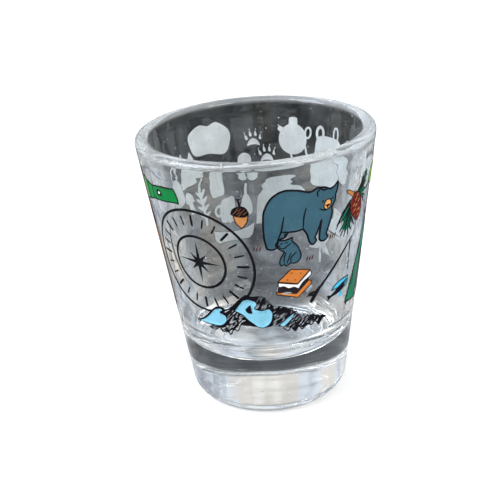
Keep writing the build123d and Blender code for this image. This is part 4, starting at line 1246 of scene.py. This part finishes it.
def make_log_pile():
    """Three logs seen end on, with their rings."""
    centres = ((-1.5, -1.3), (1.5, -1.3), (0, 1.3))
    ends = [ellipse(centre, 1.6, 1.6, count=36) for centre in centres]
    cores = [ellipse(centre, 1.2, 1.2, count=30) for centre in centres]
    lines = edge_lines(ends, 0.2)
    for radius in (0.35, 0.75):
        lines += edge_lines([ellipse(centre, radius, 0.9 * radius, count=20) for centre in centres],
            0.13)
    picture("log_pile", (-172.4, 42.2), ends, [("cone", ends), ("tan", cores)], lines, trap=0.06)


def make_paw_prints():
    """Bear tracks: one pad, four tear-shaped toes and their claws."""
    pad = blob((-1.55, -1.15), (-1, 0), (0, 0.5), (1, 0), (1.55, -1.15), (0.6, -0.95), (-0.6, -0.95))
    toes = [outline([(x + 0.33 * c, y - 0.1), (x + 0.2 * c + lean, y + 0.75), (x + lean, y + 0.8)],
        [(x - 0.25 * c, y + 0.3), (x - 0.36 * c, y - 0.3)], [(x, y - 0.45), (x + 0.33 * c, y - 0.1)])
        for x, y, c, lean in ((-1.65, 0.6, 1, -0.2), (-0.62, 1.4, 1, -0.08), (0.62, 1.4, 1, 0.08),
        (1.65, 0.6, 1, 0.2))]
    claws = [ellipse(at, 0.13, 0.2, count=10) for at in ((-2, 1.75), (-0.75, 2.55), (0.75, 2.55),
        (2, 1.75))]
    places = ((-178.6, 47.8), (173.5, 44.1))
    for (rank, place) in enumerate(places):
        enamel(f"paw_print_{rank + 1}", paint([pad, *toes, *claws]), place, "base", "white",
            ["paw_prints"] if rank == 0 else [])


def make_grass():
    """Tufts of three short upright strokes."""
    blades = [stroke([(x - 0.12, -0.45), (x + 0.02, 0), (x + 0.12, 0.45)], 0.26, 0.7, 0.5)
        for x in (-0.65, -0.1, 0.5)]
    for (rank, place) in enumerate(((-2.4, 40.8), (24.2, 37.3), (37.6, 40.6))):
        enamel(f"grass_{rank + 1}", paint(blades), place, "base", "brown",
            ["grass_strokes"] if rank == 0 else [])


# Operators, one for each piece or group of like pieces

class SHOTGLASS_OT_stage(bpy.types.Operator):
    """Make the camera, the light and the floor"""
    bl_idname = "shot_glass.stage"
    bl_label = "Stage"

    def execute(self, context):
        make_stage()
        return {"FINISHED"}


class SHOTGLASS_OT_tumbler(bpy.types.Operator):
    """Turn the glass body"""
    bl_idname = "shot_glass.tumbler"
    bl_label = "Tumbler"

    def execute(self, context):
        make_tumbler()
        return {"FINISHED"}


class SHOTGLASS_OT_badge(bpy.types.Operator):
    """Print the compass badge"""
    bl_idname = "shot_glass.badge"
    bl_label = "Compass badge"

    def execute(self, context):
        make_badge()
        return {"FINISHED"}


class SHOTGLASS_OT_mountains(bpy.types.Operator):
    """Print the snowy mountains"""
    bl_idname = "shot_glass.mountains"
    bl_label = "Mountains"

    def execute(self, context):
        make_mountains()
        return {"FINISHED"}


class SHOTGLASS_OT_animals(bpy.types.Operator):
    """Print the bear, its cub and the fish"""
    bl_idname = "shot_glass.animals"
    bl_label = "Animals"

    def execute(self, context):
        make_bear()
        make_cub()
        make_fish()
        return {"FINISHED"}


class SHOTGLASS_OT_tracks(bpy.types.Operator):
    """Print the paw prints and the tufts of grass"""
    bl_idname = "shot_glass.tracks"
    bl_label = "Tracks and grass"

    def execute(self, context):
        make_paw_prints()
        make_grass()
        return {"FINISHED"}


class SHOTGLASS_OT_plants(bpy.types.Operator):
    """Print the acorn, the cone, the leaves, the fern, the toadstool and the logs"""
    bl_idname = "shot_glass.plants"
    bl_label = "Plants"

    def execute(self, context):
        make_acorn()
        make_pine_cone()
        make_broad_leaf()
        make_maple_leaf()
        make_fern()
        make_mushroom()
        make_log_pile()
        return {"FINISHED"}


class SHOTGLASS_OT_camp_kitchen(bpy.types.Operator):
    """Print the toasted biscuit, the mug, the canteen, the flask, the kettle and the fire"""
    bl_idname = "shot_glass.camp_kitchen"
    bl_label = "Camp kitchen"

    def execute(self, context):
        make_smores()
        make_mug()
        make_canteen()
        make_flask()
        make_kettle()
        make_campfire()
        return {"FINISHED"}


class SHOTGLASS_OT_tents(bpy.types.Operator):
    """Print the two tents and the bedroll"""
    bl_idname = "shot_glass.tents"
    bl_label = "Tents and bedroll"

    def execute(self, context):
        make_tepee()
        make_dome_tent()
        make_bedroll()
        return {"FINISHED"}


class SHOTGLASS_OT_gear(bpy.types.Operator):
    """Print the torch, lantern, rucksack, boot, stick, canoe, paddle and rod"""
    bl_idname = "shot_glass.gear"
    bl_label = "Gear"

    def execute(self, context):
        make_torch()
        make_lantern()
        make_backpack()
        make_boot()
        make_walking_stick()
        make_canoe()
        make_paddle()
        make_fishing_rod()
        return {"FINISHED"}


class SHOTGLASS_PT_panel(bpy.types.Panel):
    """Lists the steps that build the shot glass"""
    bl_idname = "SHOTGLASS_PT_panel"
    bl_label = "Shot glass"
    bl_space_type = "VIEW_3D"
    bl_region_type = "UI"
    bl_category = "Shot glass"

    def draw(self, context):
        for step in STEPS:
            self.layout.operator(step.bl_idname)
        for group in ("shot_glass", "shot_enamel", "shot_stage"):
            settings = getattr(context.scene, group)
            box = self.layout.box()
            for name in settings.__annotations__:
                box.prop(settings, name)


STEPS = (
    SHOTGLASS_OT_stage,
    SHOTGLASS_OT_tumbler,
    SHOTGLASS_OT_badge,
    SHOTGLASS_OT_mountains,
    SHOTGLASS_OT_animals,
    SHOTGLASS_OT_tracks,
    SHOTGLASS_OT_plants,
    SHOTGLASS_OT_camp_kitchen,
    SHOTGLASS_OT_tents,
    SHOTGLASS_OT_gear,
)
CLASSES = (GlassSettings, EnamelSettings, StageSettings, *STEPS, SHOTGLASS_PT_panel)


def register():
    """Registers the classes and hangs the settings on the scene."""
    for made in CLASSES:
        bpy.utils.register_class(made)
    bpy.types.Scene.shot_glass = bpy.props.PointerProperty(type=GlassSettings)
    bpy.types.Scene.shot_enamel = bpy.props.PointerProperty(type=EnamelSettings)
    bpy.types.Scene.shot_stage = bpy.props.PointerProperty(type=StageSettings)


def unregister():
    """Takes away what register added."""
    del bpy.types.Scene.shot_stage
    del bpy.types.Scene.shot_enamel
    del bpy.types.Scene.shot_glass
    for made in reversed(CLASSES):
        bpy.utils.unregister_class(made)


def main():
    """Builds the shot glass step by step."""
    register()
    bpy.ops.shot_glass.stage()
    bpy.ops.shot_glass.tumbler()
    bpy.ops.shot_glass.badge()
    bpy.ops.shot_glass.mountains()
    bpy.ops.shot_glass.animals()
    bpy.ops.shot_glass.tracks()
    bpy.ops.shot_glass.plants()
    bpy.ops.shot_glass.camp_kitchen()
    bpy.ops.shot_glass.tents()
    bpy.ops.shot_glass.gear()
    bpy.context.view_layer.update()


if __name__ == "__main__":
    main()
